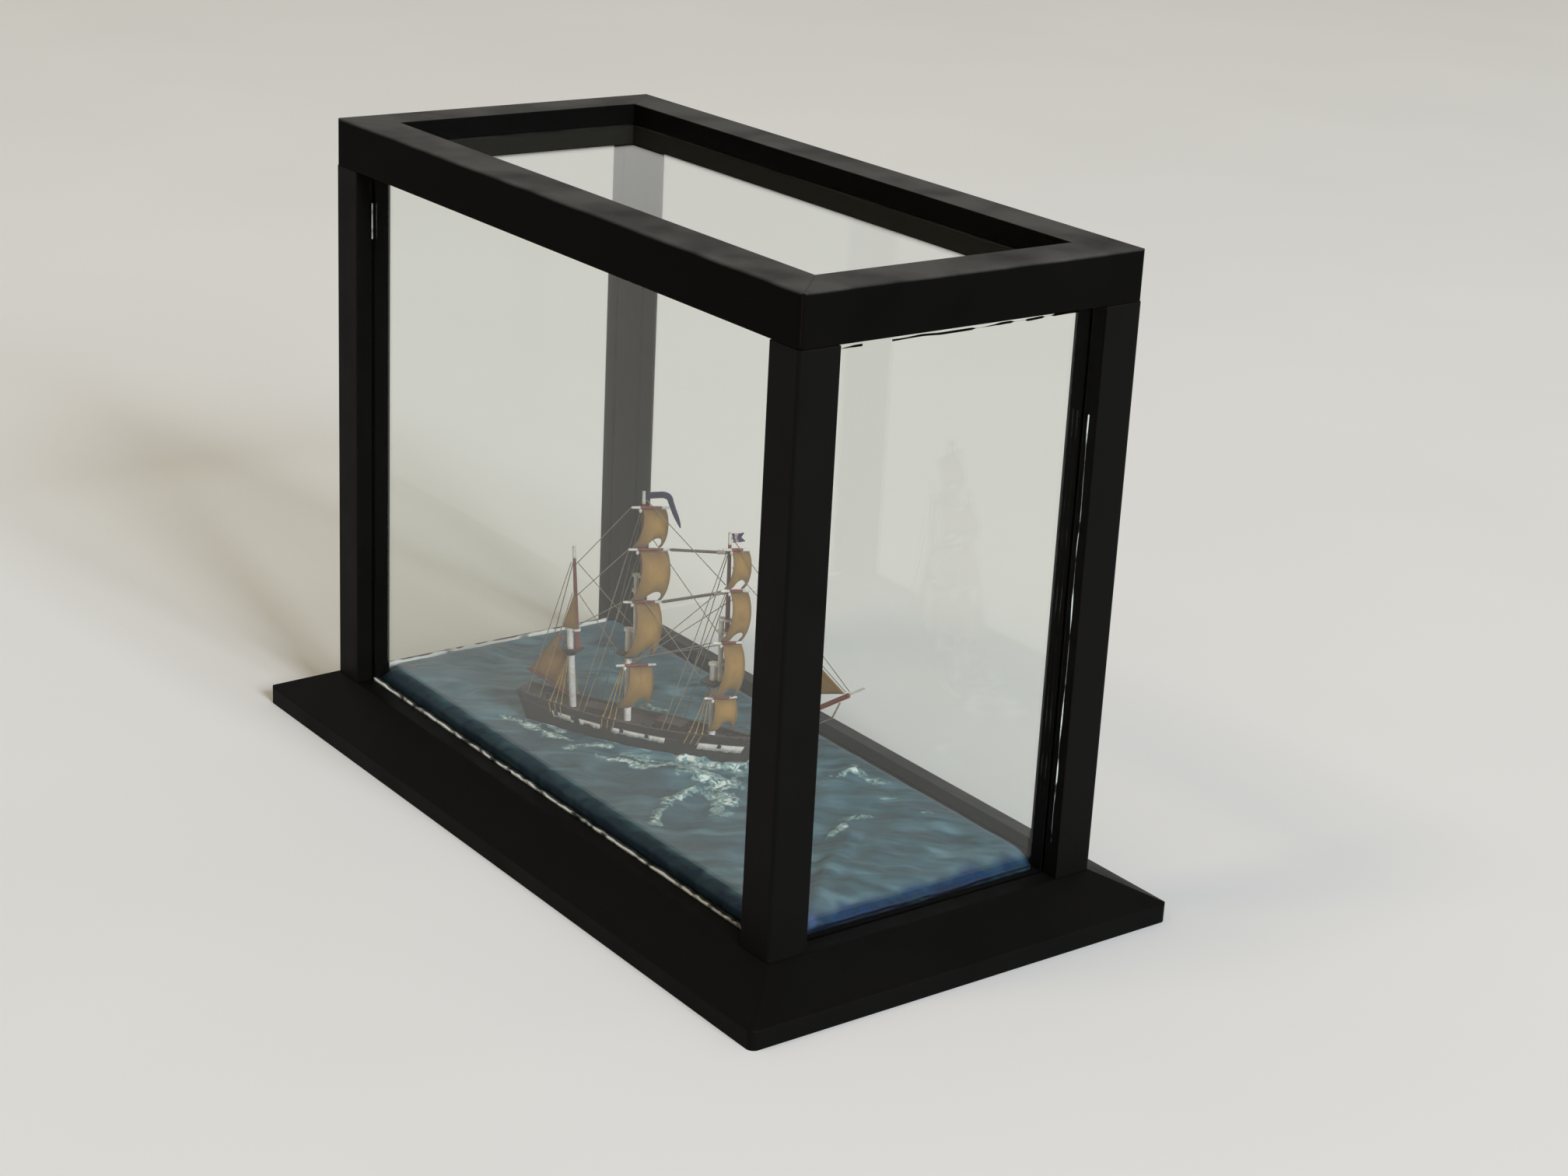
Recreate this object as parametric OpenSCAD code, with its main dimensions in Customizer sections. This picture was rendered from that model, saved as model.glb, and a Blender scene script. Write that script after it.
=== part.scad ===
// Cased waterline model of a three-masted barque under sail.
// A black wooden case with four grooved posts, four panes and a lift-off glazed lid
// stands on a plinth with canted margins. Inside lies a carved and painted sea, and
// the rigged ship is set obliquely in it.
// Millimetres, +Z up, +X along the long front, front at -Y, origin under the middle
// of the plinth.

/* [Plinth] */
// Overall thickness of the plinth
base_t = 17; // [10:0.5:30]
// Height of the upright outer edge below the canted margin
base_edge = 7; // [3:0.5:9]
// Width of the margin outside the posts
base_margin = 21; // [8:0.5:40]
// Radius of the plinth's worn corners
base_corner_r = 3; // [1:0.5:8]

/* [Case] */
// Length of the case over its posts
case_len = 303; // [250:1:420]
// Depth of the case over its posts
case_dep = 144; // [128:1:240]
// Height from the plinth's top to the top of the lid
case_h = 230; // [170:1:320]
// Side of the square corner posts
post_w = 16; // [13:0.5:24]
// Radius of the posts' outer arris
post_arris = 1.5; // [0.5:0.1:3]

/* [Lid] */
// Width of the lid rails
rail_w = 18; // [14:0.5:28]
// Height of the lid rails
rail_h = 18; // [15:0.5:30]
// Radius of the rails' outer top edge
rail_arris = 1.2; // [0.4:0.1:3]
// Radius of the lid's upright corners
lid_corner_r = 2.2; // [0.5:0.1:4]
// Depth of the top pane's face below the top of the rails
top_pane_drop = 8.5; // [4:0.5:10]
// Open seam between the lid and the posts
lid_seam = 0.3; // [0.2:0.1:1]

/* [Glass] */
// Thickness of the panes
glass_t = 2; // [1.5:0.1:4]
// Set-back of the panes from the outer faces of the posts
glass_set = 7; // [5:0.5:9]
// Depth that the panes enter their grooves
glass_bite = 3.2; // [2:0.1:5]
// Clearance of the panes in their grooves
glass_clear = 0.3; // [0.2:0.05:0.6]

/* [Fixings] */
// Diameter of the screws that hold the posts
screw_d = 3; // [2:0.5:4]
// Length of the screw inside the post
screw_grip = 22; // [12:1:40]
// Diameter of the countersunk screw heads
screw_head_d = 6; // [5:0.5:9]

/* [Sea] */
// Height of the calm sea above the plinth
sea_h = 6; // [4:0.5:10]
// Gap from the sea's ends and its front to the panes
sea_gap = 2.5; // [1:0.5:8]
// Gap from the sea to the posts
sea_post_gap = 0.6; // [0.4:0.1:6]
// Radius of the sea's corners
sea_corner_r = 4; // [2:0.5:15]
// Height of the swell
swell_h = 1.3; // [0.2:0.1:2]
// Fall of the sea's worn edges
sea_edge_fall = 1.6; // [0.4:0.1:2.5]
// Width of the flat bed around the hull
bed_margin = 4; // [1:0.5:8]

/* [Ship's place] */
// Distance of the main mast from the middle of the case, along the front
ship_x = -21.5; // [-40:0.5:20]
// Distance of the main mast from the middle of the case, front to back
ship_y = -14; // [-18:0.5:10]
// Heading of the ship, turned from the long side of the case
heading = 28; // [0:1:32]

/* [Hull] */
// Distance of the stern behind the main mast
stern_x = 47; // [43:0.5:54]
// Distance of the stem ahead of the main mast
stem_x = 58; // [54:0.5:66]
// Breadth of the hull
beam = 16; // [13:0.5:22]
// Height of the deck amidships above the water
freeboard = 7; // [5:0.5:10]
// Height of the bulwarks above the deck
bulwark = 2.6; // [1.5:0.1:4]
// Thickness of the bulwarks
bulwark_t = 0.9; // [0.6:0.1:1.6]
// Rise of the sheer at the bow
sheer_bow = 3.2; // [0.5:0.1:5]
// Rise of the sheer at the stern
sheer_stern = 2.2; // [0.5:0.1:4]
// Thickness of the deck
deck_t = 0.7; // [0.4:0.1:1.5]

/* [Masts] */
// Distances of the fore, main and mizzen masts ahead of the main mast
mast_x = [36.8, 0, -24.4]; // [-40:0.1:45]
// Rake of the fore, main and mizzen masts, forward positive
mast_rake = [-1.7, -1.7, -4.5]; // [-8:0.1:4]
// Lean of the masts to port
mast_lean = 1.5; // [0:0.1:4]
// Heights above deck of the fore mast: top, lower head, topgallant heel, topmast head
fore_mast = [22.3, 30, 42.7, 48.5]; // [10:0.1:80]
// Heights above deck of the main mast: top, lower head, topgallant heel, topmast head
main_mast = [27.6, 37.6, 53, 60]; // [10:0.1:80]
// Heights above deck of the mizzen mast: top and lower head
mizzen_mast = [23, 32.2]; // [10:0.1:80]
// Heights of the trucks above deck on the fore, main and mizzen masts
truck_z = [82.4, 93, 65.2]; // [40:0.1:110]
// Radius of the lower masts
lower_r = 1.4; // [1:0.05:2]
// Radius of the topmasts
topmast_r = 1; // [0.7:0.05:1.4]
// Radius of the topgallant masts at the heel
topgallant_r = 1; // [0.6:0.05:1.2]
// Radius of the poles at the truck
truck_r = 0.6; // [0.3:0.05:0.8]
// Space between the poles of a doubling
pole_gap = 0.5; // [0.3:0.05:0.8]
// Clearance between neighbouring pieces of the rig
rig_gap = 0.1; // [0.05:0.05:0.2]

/* [Yards and sails] */
// Angle that the yards are braced round, port arm forward
brace = 30; // [0:1:40]
// Cant of the yards, port arm down
cant = 8; // [0:0.5:10]
// Heights of the fore yards above deck, lowest first
fore_yard_z = [16.3, 39, 60.1, 76.3]; // [8:0.1:95]
// Heights of the main yards above deck, lowest first
main_yard_z = [23.1, 49.3, 70.7, 87.3]; // [8:0.1:95]
// Half lengths of the fore yards, lowest first
fore_yard_half = [7.4, 7, 6.6, 6.2]; // [4:0.1:16]
// Half lengths of the main yards, lowest first
main_yard_half = [9, 8.8, 9.4, 8.4]; // [4:0.1:16]
// Distance of the yards ahead of their masts
yard_off = 1.2; // [0.2:0.1:2]
// Half widths of the fore sails at the head, lowest first
fore_head_half = [5, 4.4, 4, 3.9]; // [3:0.1:14]
// Half widths of the main sails at the head, lowest first
main_head_half = [5, 5.4, 6.2, 5.2]; // [3:0.1:14]
// Distance of the sails' middles to port of the masts
sail_shift = 2; // [0:0.1:2.5]
// Widening of the fore sails to starboard at the foot, lowest first
fore_flare = [1.2, 1.5, 1.2, 1]; // [0:0.1:5]
// Widening of the main sails to starboard at the foot, lowest first
main_flare = [3.6, 1.8, 1.4, 2.4]; // [0:0.1:5]
// Drops of the fore sails from head to foot, lowest first
fore_drop = [12.4, 20.8, 19, 14.4]; // [8:0.1:26]
// Drops of the main sails from head to foot, lowest first
main_drop = [16.4, 21.4, 19.4, 14.8]; // [8:0.1:26]
// Belly of the sails as a share of their height
sail_belly = 0.25; // [0.05:0.01:0.4]
// Height of the arch cut in the foot of each sail
foot_arch = 3.6; // [2.2:0.1:5]
// Thickness of the sails
sail_t = 0.35; // [0.25:0.05:0.6]
// Radius of the yards
yard_r = 0.65; // [0.4:0.05:1]

/* [Bowsprit and headsail] */
// Steeve of the bowsprit above the level
steeve = 33; // [20:1:42]
// Length of the bowsprit outside the stem
bowsprit_len = 40; // [25:0.5:46]
// Radius of the bowsprit
bowsprit_r = 0.95; // [0.6:0.05:1.3]
// Length of the jib boom beyond the bowsprit
jib_boom_out = 7; // [3:0.5:12]
// Radius of the jib boom
jib_boom_r = 0.4; // [0.25:0.05:0.6]

/* [Fore-and-aft gear] */
// Length of the spanker boom
boom_len = 20; // [12:0.5:22]
// Height of the boom's jaws above deck
boom_z = 4.4; // [3:0.1:8]
// Rise of the boom aft
boom_rise = 25; // [0:1:30]
// Length of the gaff
gaff_len = 6; // [4:0.5:12]
// Height of the gaff's jaws above the mizzen top
gaff_above_top = 2; // [1.5:0.1:4]
// Peak of the gaff above the level
gaff_peak = 46; // [30:1:60]
// Radius of the boom and the gaff
boom_r = 0.5; // [0.3:0.05:0.8]

/* [Rigging and flags] */
// Diameter of the standing and running rigging
rope_d = 0.3; // [0.2:0.05:0.5]
// Diameter of the two heavy braces between the main and fore masts
heavy_rope_d = 1; // [0.4:0.05:1.3]
// Distance between neighbouring shrouds at the rail
shroud_step = 2.6; // [1.5:0.1:4]
// Width of the pennant
pennant_w = 2; // [1:0.1:3]
// Length of the fore flag
flag_len = 5; // [3:0.1:7]
// Thickness of the flags
flag_t = 0.3; // [0.2:0.05:0.5]

/* [Hidden] */
$fn = 40;

// Colours of the real finishes
ebony = "#1b1a18";
clear_glass = [0.80, 0.86, 0.83, 0.35];
steel = "#8d8f92";
sea_blue = "#62747c";
hull_brown = "#453c34";
deck_tan = "#8a7350";
band_white = "#b5b1a6";
spar_white = "#bab6aa";
spar_red = "#5d3226";
top_black = "#3a352f";
canvas = "#ad9066";
rope_grey = "#7d7566";
navy = "#201f38";

FORE = 0;
MAIN = 1;
MIZZEN = 2;
COURSE = 0;
TOPSAIL = 1;
TOPGALLANT = 2;
ROYAL = 3;
eps = 0.01;

// Case derived from the driving sizes
half_len = case_len / 2;
half_dep = case_dep / 2;
lid_z = base_t + case_h - rail_h;
lid_top = base_t + case_h;
groove_w = glass_t + 2 * glass_clear;
pane_top = lid_z + glass_bite;
opening_half = [half_len - rail_w, half_dep - rail_w];
sea_half = [half_len - glass_set - glass_t - sea_gap, half_dep - post_w - sea_post_gap];
sea_front = half_dep - glass_set - glass_t - sea_gap;
sea_notch = max(0, sea_half.x - (half_len - post_w - sea_post_gap));
water = base_t + sea_h;

// Ship derived from the driving sizes
hull_len = stern_x + stem_x;
stem_half = 0.45;
counter = 4.5;
stem_rake = 0.55;
mid_station = 0.45;
transom_share = 0.62;
topmast_x = lower_r + topmast_r + pole_gap;
topgallant_x = topmast_x + topmast_r + topgallant_r + pole_gap;
lower_z = [fore_mast, main_mast, mizzen_mast];
yard_z = [fore_yard_z, main_yard_z];
yard_half = [fore_yard_half, main_yard_half];
head_half = [fore_head_half, main_head_half];
sail_flare = [fore_flare, main_flare];
sail_drop = [fore_drop, main_drop];
flag_rise = 12;
top_t = 0.8;
cap_t = 0.9;
cap_wall = 0.6;

// Station from 0 at the stern to 1 at the stem for a place along the deck
function station(x) = (x + stern_x) / hull_len;
function sheer(s) = s > 0.4 ? sheer_bow * pow((s - 0.4) / 0.6, 2) : sheer_stern * pow((0.4 - s) / 0.4, 2);
function deck_at(s) = freeboard + sheer(s);
function rail_at(s) = deck_at(s) + bulwark;
function plan(s) = s < mid_station
  ? 1 - (1 - transom_share) * pow((mid_station - s) / mid_station, 2)
  : 1 - pow((s - mid_station) / (1 - mid_station), 2.3);
function half_beam(s) = stem_half + (beam / 2 - stem_half) * plan(s);
// Point of the hull's skin at station s and share t of the height, side 1 to port
function skin(s, t, side, out = 0) = [
  (1 - s) * (counter * (1 - t) - stern_x) + s * (stem_x - stem_rake * (1 - t) * rail_at(1)),
  side * (half_beam(s) * (0.86 + 0.28 * t - 0.14 * t * t) + out),
  t * rail_at(s)
];
function deck_half(s) = half_beam(s) - bulwark_t;

// Turn from a mast's own axes to the ship's axes
function turned(v, rake) =
  let (y = v.y * cos(mast_lean) + v.z * sin(mast_lean), z = v.z * cos(mast_lean) - v.y * sin(mast_lean))
  [v.x * cos(rake) + z * sin(rake), y, z * cos(rake) - v.x * sin(rake)];
function mast_foot(m) = [mast_x[m], 0, deck_at(station(mast_x[m])) + deck_t];
function on_mast(m, v) = mast_foot(m) + turned(v, mast_rake[m]);
// Axis of the pole that stands at a height on a mast, in the mast's own axes
function on_topmast(m, z) = m == MIZZEN || z < lower_z[m][3];
function pole_x(m, z) = z < lower_z[m][1] ? 0 : on_topmast(m, z) ? topmast_x : topgallant_x;
function pole_r(m, z) = z < lower_z[m][1] ? lower_r : on_topmast(m, z) ? topmast_r : topgallant_r;
function yard_at(m, k) = let (z = yard_z[m][k])
  [pole_x(m, z) + pole_r(m, z) + yard_r + rig_gap + yard_off, 0, z];
function yard_dir() = [sin(brace) * cos(cant), cos(brace) * cos(cant), -sin(cant)];
function yard_arm(m, k, side) = on_mast(m, yard_at(m, k) + side * (yard_half[m][k] - 0.6) * yard_dir());
// Where a rope is made fast on a mast, clear of the pole, on the side it leads to
function hitch(m, z, dx, dy) = on_mast(m, [pole_x(m, z), 0, z]
  + (pole_r(m, z) + rope_d / 2 + rig_gap) * [dx, dy, 0] / norm([dx, dy]));
function rail_point(x, side) = let (s = station(x)) skin(s, 1, side) + [0, -side * bulwark_t / 2, rope_d];
// The bowsprit's axis: it rests on the bow and leaves it at the stem, where l is 0
bowsprit_rest = 4;
function bowsprit_point(l) =
  let (x = stem_x - bowsprit_rest)
  [x, 0, rail_at(station(x)) + bowsprit_r / cos(steeve) + 3 * rig_gap]
  + (bowsprit_rest / cos(steeve) + l) * [cos(steeve), 0, sin(steeve)];

// Carries a piece from the ship's axes to its place in the case
module aboard() {
  translate([ship_x, ship_y, water]) rotate([0, 0, heading]) children();
}

// Carries a piece from a mast's own axes to the ship
module masted(m) {
  aboard() translate(mast_foot(m)) rotate([-mast_lean, mast_rake[m], 0]) children();
}

module bar(length, width, height) {
  translate([-length / 2, -width / 2, 0]) cube([length, width, height]);
}

// Rectangle with round corners, from squares and circles
module round_rect(w, d, r) {
  square([w - 2 * r, d], center = true);
  square([w, d - 2 * r], center = true);
  for (sx = [-1, 1], sy = [-1, 1]) translate([sx * (w / 2 - r), sy * (d / 2 - r)]) circle(r);
}

// Closed skin over a row of rings that have the same number of points
module loft(rings) {
  n = len(rings[0]);
  rows = len(rings);
  sides = [for (i = [0:rows - 2], j = [0:n - 1])
    let (a = i * n + j, b = i * n + (j + 1) % n) each [[a, b, b + n], [a, b + n, a + n]]];
  caps = [[for (j = [n - 1:-1:0]) j], [for (j = [0:n - 1]) (rows - 1) * n + j]];
  polyhedron(points = [for (ring = rings) each ring], faces = concat(sides, caps));
}

// Round rod between two points
module rod(a, b, d) {
  v = b - a;
  translate(a) rotate([0, acos(v.z / norm(v)), atan2(v.y, v.x)]) cylinder(d = d, h = norm(v));
}

// Plinth
module screw_at() {
  for (sx = [-1, 1], sy = [-1, 1])
    translate([sx * (half_len - post_w / 2), sy * (half_dep - post_w / 2), 0]) children();
}

module canted(length, width) {
  linear_extrude(height = width, center = true) polygon([
    [-length / 2 - base_margin, 0], [length / 2 + base_margin, 0],
    [length / 2 + base_margin, base_edge], [length / 2, base_t],
    [-length / 2, base_t], [-length / 2 - base_margin, base_edge]
  ]);
}

module base_plinth() {
  long = case_len + 2 * base_margin;
  deep = case_dep + 2 * base_margin;
  color(ebony) difference() {
    intersection() {
      rotate([90, 0, 0]) canted(case_len, deep);
      rotate([90, 0, 90]) canted(case_dep, long);
      linear_extrude(height = base_t) round_rect(long, deep, base_corner_r);
    }
    screw_at() {
      translate([0, 0, -1]) cylinder(d = screw_d + 2 * glass_clear, h = base_t + 2);
      translate([0, 0, -eps]) cylinder(d = screw_head_d + 2 * glass_clear, h = screw_head_d / 2);
    }
  }
}

module post_screws() {
  head_h = screw_head_d / 2 - 0.6;
  color(steel) screw_at() translate([0, 0, 0.5]) difference() {
    union() {
      cylinder(d = screw_head_d, h = head_h);
      cylinder(d = screw_d, h = base_t + screw_grip - 1);
    }
    bar(screw_head_d * 2, 0.8, 1);
  }
}

// Posts and panes
module corner_post(sx, sy) {
  post_h = lid_z - lid_seam - base_t;
  core = post_w - post_arris;
  inner = [half_len - post_w, half_dep - post_w];
  groove = glass_set - glass_clear;
  color(ebony) mirror([sx < 0 ? 1 : 0, 0, 0]) mirror([0, sy < 0 ? 1 : 0, 0])
  difference() {
    translate([inner.x, inner.y, base_t]) linear_extrude(height = post_h) {
      square([post_w, core]);
      square([core, post_w]);
      translate([core, core]) circle(post_arris);
    }
    translate([half_len - groove - groove_w, inner.y - 1, base_t - 1])
      cube([groove_w, glass_bite + glass_clear + 1, post_h + 2]);
    translate([inner.x - 1, half_dep - groove - groove_w, base_t - 1])
      cube([glass_bite + glass_clear + 1, groove_w, post_h + 2]);
    translate([half_len - post_w / 2, half_dep - post_w / 2, base_t - 1])
      cylinder(d = screw_d + glass_clear, h = screw_grip + 2);
  }
}

module long_pane(sy) {
  length = case_len - 2 * post_w + 2 * glass_bite;
  color(clear_glass) translate([0, sy * (half_dep - glass_set - glass_t / 2), base_t])
    bar(length, glass_t, pane_top - base_t);
}

module end_pane(sx) {
  width = case_dep - 2 * post_w + 2 * glass_bite;
  color(clear_glass) translate([sx * (half_len - glass_set - glass_t / 2), 0, base_t])
    bar(glass_t, width, pane_top - base_t);
}

// Lid: section of a rail, outer face at 0 and inner face at rail_w
module rail_section() {
  top_groove = [glass_bite + glass_clear, glass_t + glass_clear];
  difference() {
    union() {
      square([rail_w, rail_h - rail_arris]);
      translate([rail_arris, 0]) square([rail_w - rail_arris, rail_h]);
      translate([rail_arris, rail_h - rail_arris]) circle(rail_arris);
    }
    translate([glass_set - glass_clear, -1]) square([groove_w, glass_bite + glass_clear + 1]);
    translate([rail_w - top_groove.x, rail_h - top_pane_drop - glass_t])
      square([top_groove.x + 1, top_groove.y]);
  }
}

// A rail of the lid along X at the front, cut to its mitres and rounded at the lid's corners
module lid_rail(length, reach) {
  intersection() {
    translate([-length / 2, -reach, lid_z]) rotate([90, 0, 90])
      linear_extrude(height = length) rail_section();
    translate([0, 0, lid_z - 1]) linear_extrude(height = rail_h + 2) polygon([
      [-length / 2, -reach], [length / 2, -reach],
      [length / 2 - rail_w, -reach + rail_w], [-length / 2 + rail_w, -reach + rail_w]
    ]);
    translate([0, 0, lid_z - 1]) linear_extrude(height = rail_h + 2)
      round_rect(length, 2 * reach, lid_corner_r);
  }
}

module long_rail(sy) {
  color(ebony) rotate([0, 0, sy > 0 ? 180 : 0]) lid_rail(case_len, half_dep);
}

module end_rail(sx) {
  color(ebony) rotate([0, 0, sx > 0 ? 90 : -90]) lid_rail(case_dep, half_len);
}

module lid_glass() {
  color(clear_glass) translate([0, 0, lid_top - top_pane_drop - glass_t])
    bar(2 * (opening_half.x + glass_bite), 2 * (opening_half.y + glass_bite), glass_t);
}

// Sea
function clamp01(v) = min(1, max(0, v));
function ease(v) = let (c = clamp01(v)) c * c * (3 - 2 * c);
// Place in the ship's axes of a point of the case
function ship_frame(x, y) = let (dx = x - ship_x, dy = y - ship_y)
  [dx * cos(heading) + dy * sin(heading), dy * cos(heading) - dx * sin(heading)];
// 0 on the flat bed under and around the hull, 1 in open water
function open_water(q) =
  ease((max(max(-stern_x - q.x, q.x - stem_x), abs(q.y) - beam / 2) - bed_margin) / 9);
function swell(x, y) = 0.55 * sin(7.1 * x + 3.4 * y) + 0.3 * sin(11.3 * y - 4.7 * x + 40)
  + 0.25 * sin(19 * x + 13 * y + 110);
// Ridge of the wave that the bow throws out on each side
function bow_wave(q) = let (along = q.x - 40)
  1.5 * exp(-pow(along / 16, 2) - pow((abs(q.y) - 19 + along * 0.35) / 5, 2));
// Half length at y: round at the back corners, and cut in by a round notch at the front posts
function sea_row_half(y) = let (r = y > 0 ? sea_corner_r : sea_notch, over = max(0, abs(y) - sea_half.y + r))
  sea_half.x - r + sqrt(max(0, r * r - over * over));
function sea_z(x, y) = let (
    q = ship_frame(x, y),
    edge = min(sea_row_half(y) - abs(x), sea_front + y, sea_half.y - y))
  base_t + sea_h + open_water(q) * swell_h * (swell(x, y) + bow_wave(q))
  - sea_edge_fall * pow(1 - clamp01(edge / 5), 2);

module sea() {
  columns = 60;
  front_rows = 3;
  rows = 29;
  notch_y = -min(sea_half.y, sea_front - 1);
  top = [for (j = [0:rows], i = [0:columns]) let (
      share = j < front_rows ? j / front_rows : (j - front_rows) / (rows - front_rows),
      y = j < front_rows ? -sea_front + share * (notch_y + sea_front) : notch_y + share * (sea_half.y - notch_y),
      x = (2 * i / columns - 1) * sea_row_half(y))
    [x, y, sea_z(x, y)]];
  n = columns + 1;
  rim = concat(
    [for (i = [0:columns - 1]) i], [for (j = [0:rows - 1]) j * n + columns],
    [for (i = [columns:-1:1]) rows * n + i], [for (j = [rows:-1:1]) j * n]);
  m = len(rim);
  foot = len(top);
  surface = [for (j = [0:rows - 1], i = [0:columns - 1])
    let (a = j * n + i) each [[a, a + n, a + n + 1], [a, a + n + 1, a + 1]]];
  walls = [for (k = [0:m - 1]) let (l = (k + 1) % m) [rim[k], rim[l], foot + l, foot + k]];
  color(sea_blue) polyhedron(
    points = concat(top, [for (k = rim) [top[k].x, top[k].y, base_t]], [[0, 0, base_t]]),
    faces = concat(surface, walls, [for (k = [0:m - 1]) [foot + m, foot + k, foot + (k + 1) % m]]));
}

// Hull
hull_rows = 5;
hull_stations = 28;

module hull_solid() {
  loft([for (i = [0:hull_stations]) let (s = i / hull_stations) concat(
    [for (j = [0:hull_rows]) skin(s, j / hull_rows, -1)],
    [for (j = [hull_rows:-1:0]) skin(s, j / hull_rows, 1)])]);
}

// Space between the bulwarks from a height above the deck upwards
well_ends = [0.03, 0.96];
module well(low, high, shrink) {
  loft([for (i = [0:hull_stations]) let (
      s = well_ends[0] + (well_ends[1] - well_ends[0]) * i / hull_stations,
      x = skin(s, deck_at(s) / rail_at(s), 1).x,
      w = max(0.2, deck_half(s) - shrink),
      z = deck_at(s))
    [[x, -w, z + low], [x, -w, z + high], [x, w, z + high], [x, w, z + low]]]);
}

module hull() {
  color(hull_brown) aboard() difference() {
    hull_solid();
    well(0, bulwark + 2, 0);
  }
}

module deck() {
  color(deck_tan) difference() {
    aboard() well(rig_gap / 2, deck_t, rig_gap);
    for (m = [FORE, MAIN, MIZZEN]) masted(m) translate([0, 0, -deck_t * 2])
      cylinder(r = lower_r + rig_gap, h = deck_t * 4);
  }
}

// Painted strips along the hull between the ports, broken as they are worn
strip_runs = [[-30, -28.8], [-27.4, -21.6], [-17.5, -13], [-11.6, -8], [-2, 1.6], [3, 13], [14.4, 21],
  [36, 43.6], [45, 53.5]];
strip_low = 0.5;
strip_high = 0.68;
strip_t = 0.25;

module strip(x0, x1, side) {
  steps = 3;
  loft([for (i = [0:steps]) let (s = station(x0 + (x1 - x0) * i / steps))
    let (ring = [skin(s, strip_low, side, rig_gap / 2), skin(s, strip_high, side, rig_gap / 2),
      skin(s, strip_high, side, rig_gap / 2 + strip_t), skin(s, strip_low, side, rig_gap / 2 + strip_t)])
    side > 0 ? ring : [ring[3], ring[2], ring[1], ring[0]]]);
}

module port_strips() {
  color(band_white) aboard() for (side = [-1, 1], run = strip_runs) strip(run[0], run[1], side);
}

// Deck houses abaft the fore mast and abaft the main mast
module deck_house(x, length, width, height) {
  low = deck_t + rig_gap + max(deck_at(station(x - length / 2)), deck_at(station(x + length / 2)));
  translate([x, 0, low]) {
    bar(length, width, height);
    translate([0, 0, height]) bar(length + 0.8, width + 0.8, 0.5);
  }
}

module deck_houses() {
  color(deck_tan) aboard() {
    deck_house((mast_x[FORE] + mast_x[MAIN]) / 2 + 1, 11, beam * 0.36, 2.6);
    deck_house((mast_x[MAIN] + mast_x[MIZZEN]) / 2 - 1, 9, beam * 0.34, 2.2);
  }
}

// Masts: each lower mast stands through the deck on the hull
module lower_mast(m) {
  color(spar_white) masted(m) translate([0, 0, rig_gap * 2 - deck_t])
    cylinder(r = lower_r, h = lower_z[m][1] + deck_t);
}

module topmast(m, head, r_head) {
  z = lower_z[m][0] + top_t + rig_gap;
  color(spar_red) masted(m) translate([topmast_x, 0, z])
    cylinder(r1 = topmast_r, r2 = r_head, h = head - z);
}

module topgallant_mast(m) {
  z = lower_z[m][2];
  color(spar_red) masted(m) translate([topgallant_x, 0, z])
    cylinder(r1 = topgallant_r, r2 = truck_r, h = truck_z[m] - z);
}

// Platform on its bolster at the head of a lower mast
module top(m) {
  share = m == MIZZEN ? 0.6 : 1;
  ahead = topmast_x + topmast_r + share;
  aft = 4 * share;
  side = 4.6 * share;
  color(top_black) masted(m) translate([0, 0, lower_z[m][0]]) difference() {
    union() {
      linear_extrude(height = top_t) intersection() {
        translate([-aft, -side]) square([aft + ahead, 2 * side]);
        circle(r = 5);
      }
      translate([0, 0, -1.8]) cylinder(r1 = lower_r + 0.5, r2 = lower_r + 1.6, h = 1.8);
    }
    translate([0, 0, -3]) cylinder(r = lower_r + rig_gap / 2, h = 6);
  }
}

// Cap that clasps two neighbouring poles
module cap(m, z, x0, r0, x1, r1) {
  masted(m) translate([0, 0, z - cap_t]) difference() {
    linear_extrude(height = cap_t) {
      translate([x0, 0]) circle(r0 + cap_wall);
      translate([x1, 0]) circle(r1 + cap_wall);
      translate([x0, -min(r0, r1)]) square([x1 - x0, 2 * min(r0, r1)]);
    }
    translate([x0, 0, -1]) cylinder(r = r0 + rig_gap / 2, h = cap_t + 2);
    translate([x1, 0, -1]) cylinder(r = r1 + rig_gap / 2, h = cap_t + 2);
  }
}

module mast_caps() {
  color(spar_white) {
    for (m = [FORE, MAIN, MIZZEN]) cap(m, lower_z[m][1], 0, lower_r, topmast_x, topmast_r);
    for (m = [FORE, MAIN]) {
      cap(m, lower_z[m][3], topmast_x, topmast_r, topgallant_x, topgallant_r);
      cap(m, lower_z[m][2] + cap_t, topmast_x, topmast_r, topgallant_x, topgallant_r);
    }
  }
}

// Bowsprit and jib boom
module bowsprit() {
  color(spar_red) aboard()
    rod(bowsprit_point(-bowsprit_rest), bowsprit_point(bowsprit_len), 2 * bowsprit_r);
}

module jib_boom() {
  lift = [0, bowsprit_r + jib_boom_r + rig_gap / 2, 0];
  heel = bowsprit_point(bowsprit_len * 0.72) + lift;
  color(rope_grey) aboard()
    rod(heel, bowsprit_point(bowsprit_len + jib_boom_out) + lift, 2 * jib_boom_r);
}

// Yards and square sails, in axes with X ahead of the yard and Y along it to port
module braced(m, k) {
  masted(m) translate(yard_at(m, k)) rotate([0, 0, -brace]) rotate([-cant, 0, 0]) children();
}

// Yard with the short truss that holds it off the mast
module yard(m, k) {
  half = yard_half[m][k];
  arm_r = yard_r * 0.62;
  color(spar_red) {
    braced(m, k) for (turn = [-90, 90]) rotate([turn, 0, 0]) cylinder(r1 = yard_r, r2 = arm_r, h = half);
    masted(m) translate(yard_at(m, k)) rotate([0, -90, 0])
      cylinder(r = yard_r * 0.6, h = yard_r + yard_off);
  }
}

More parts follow.
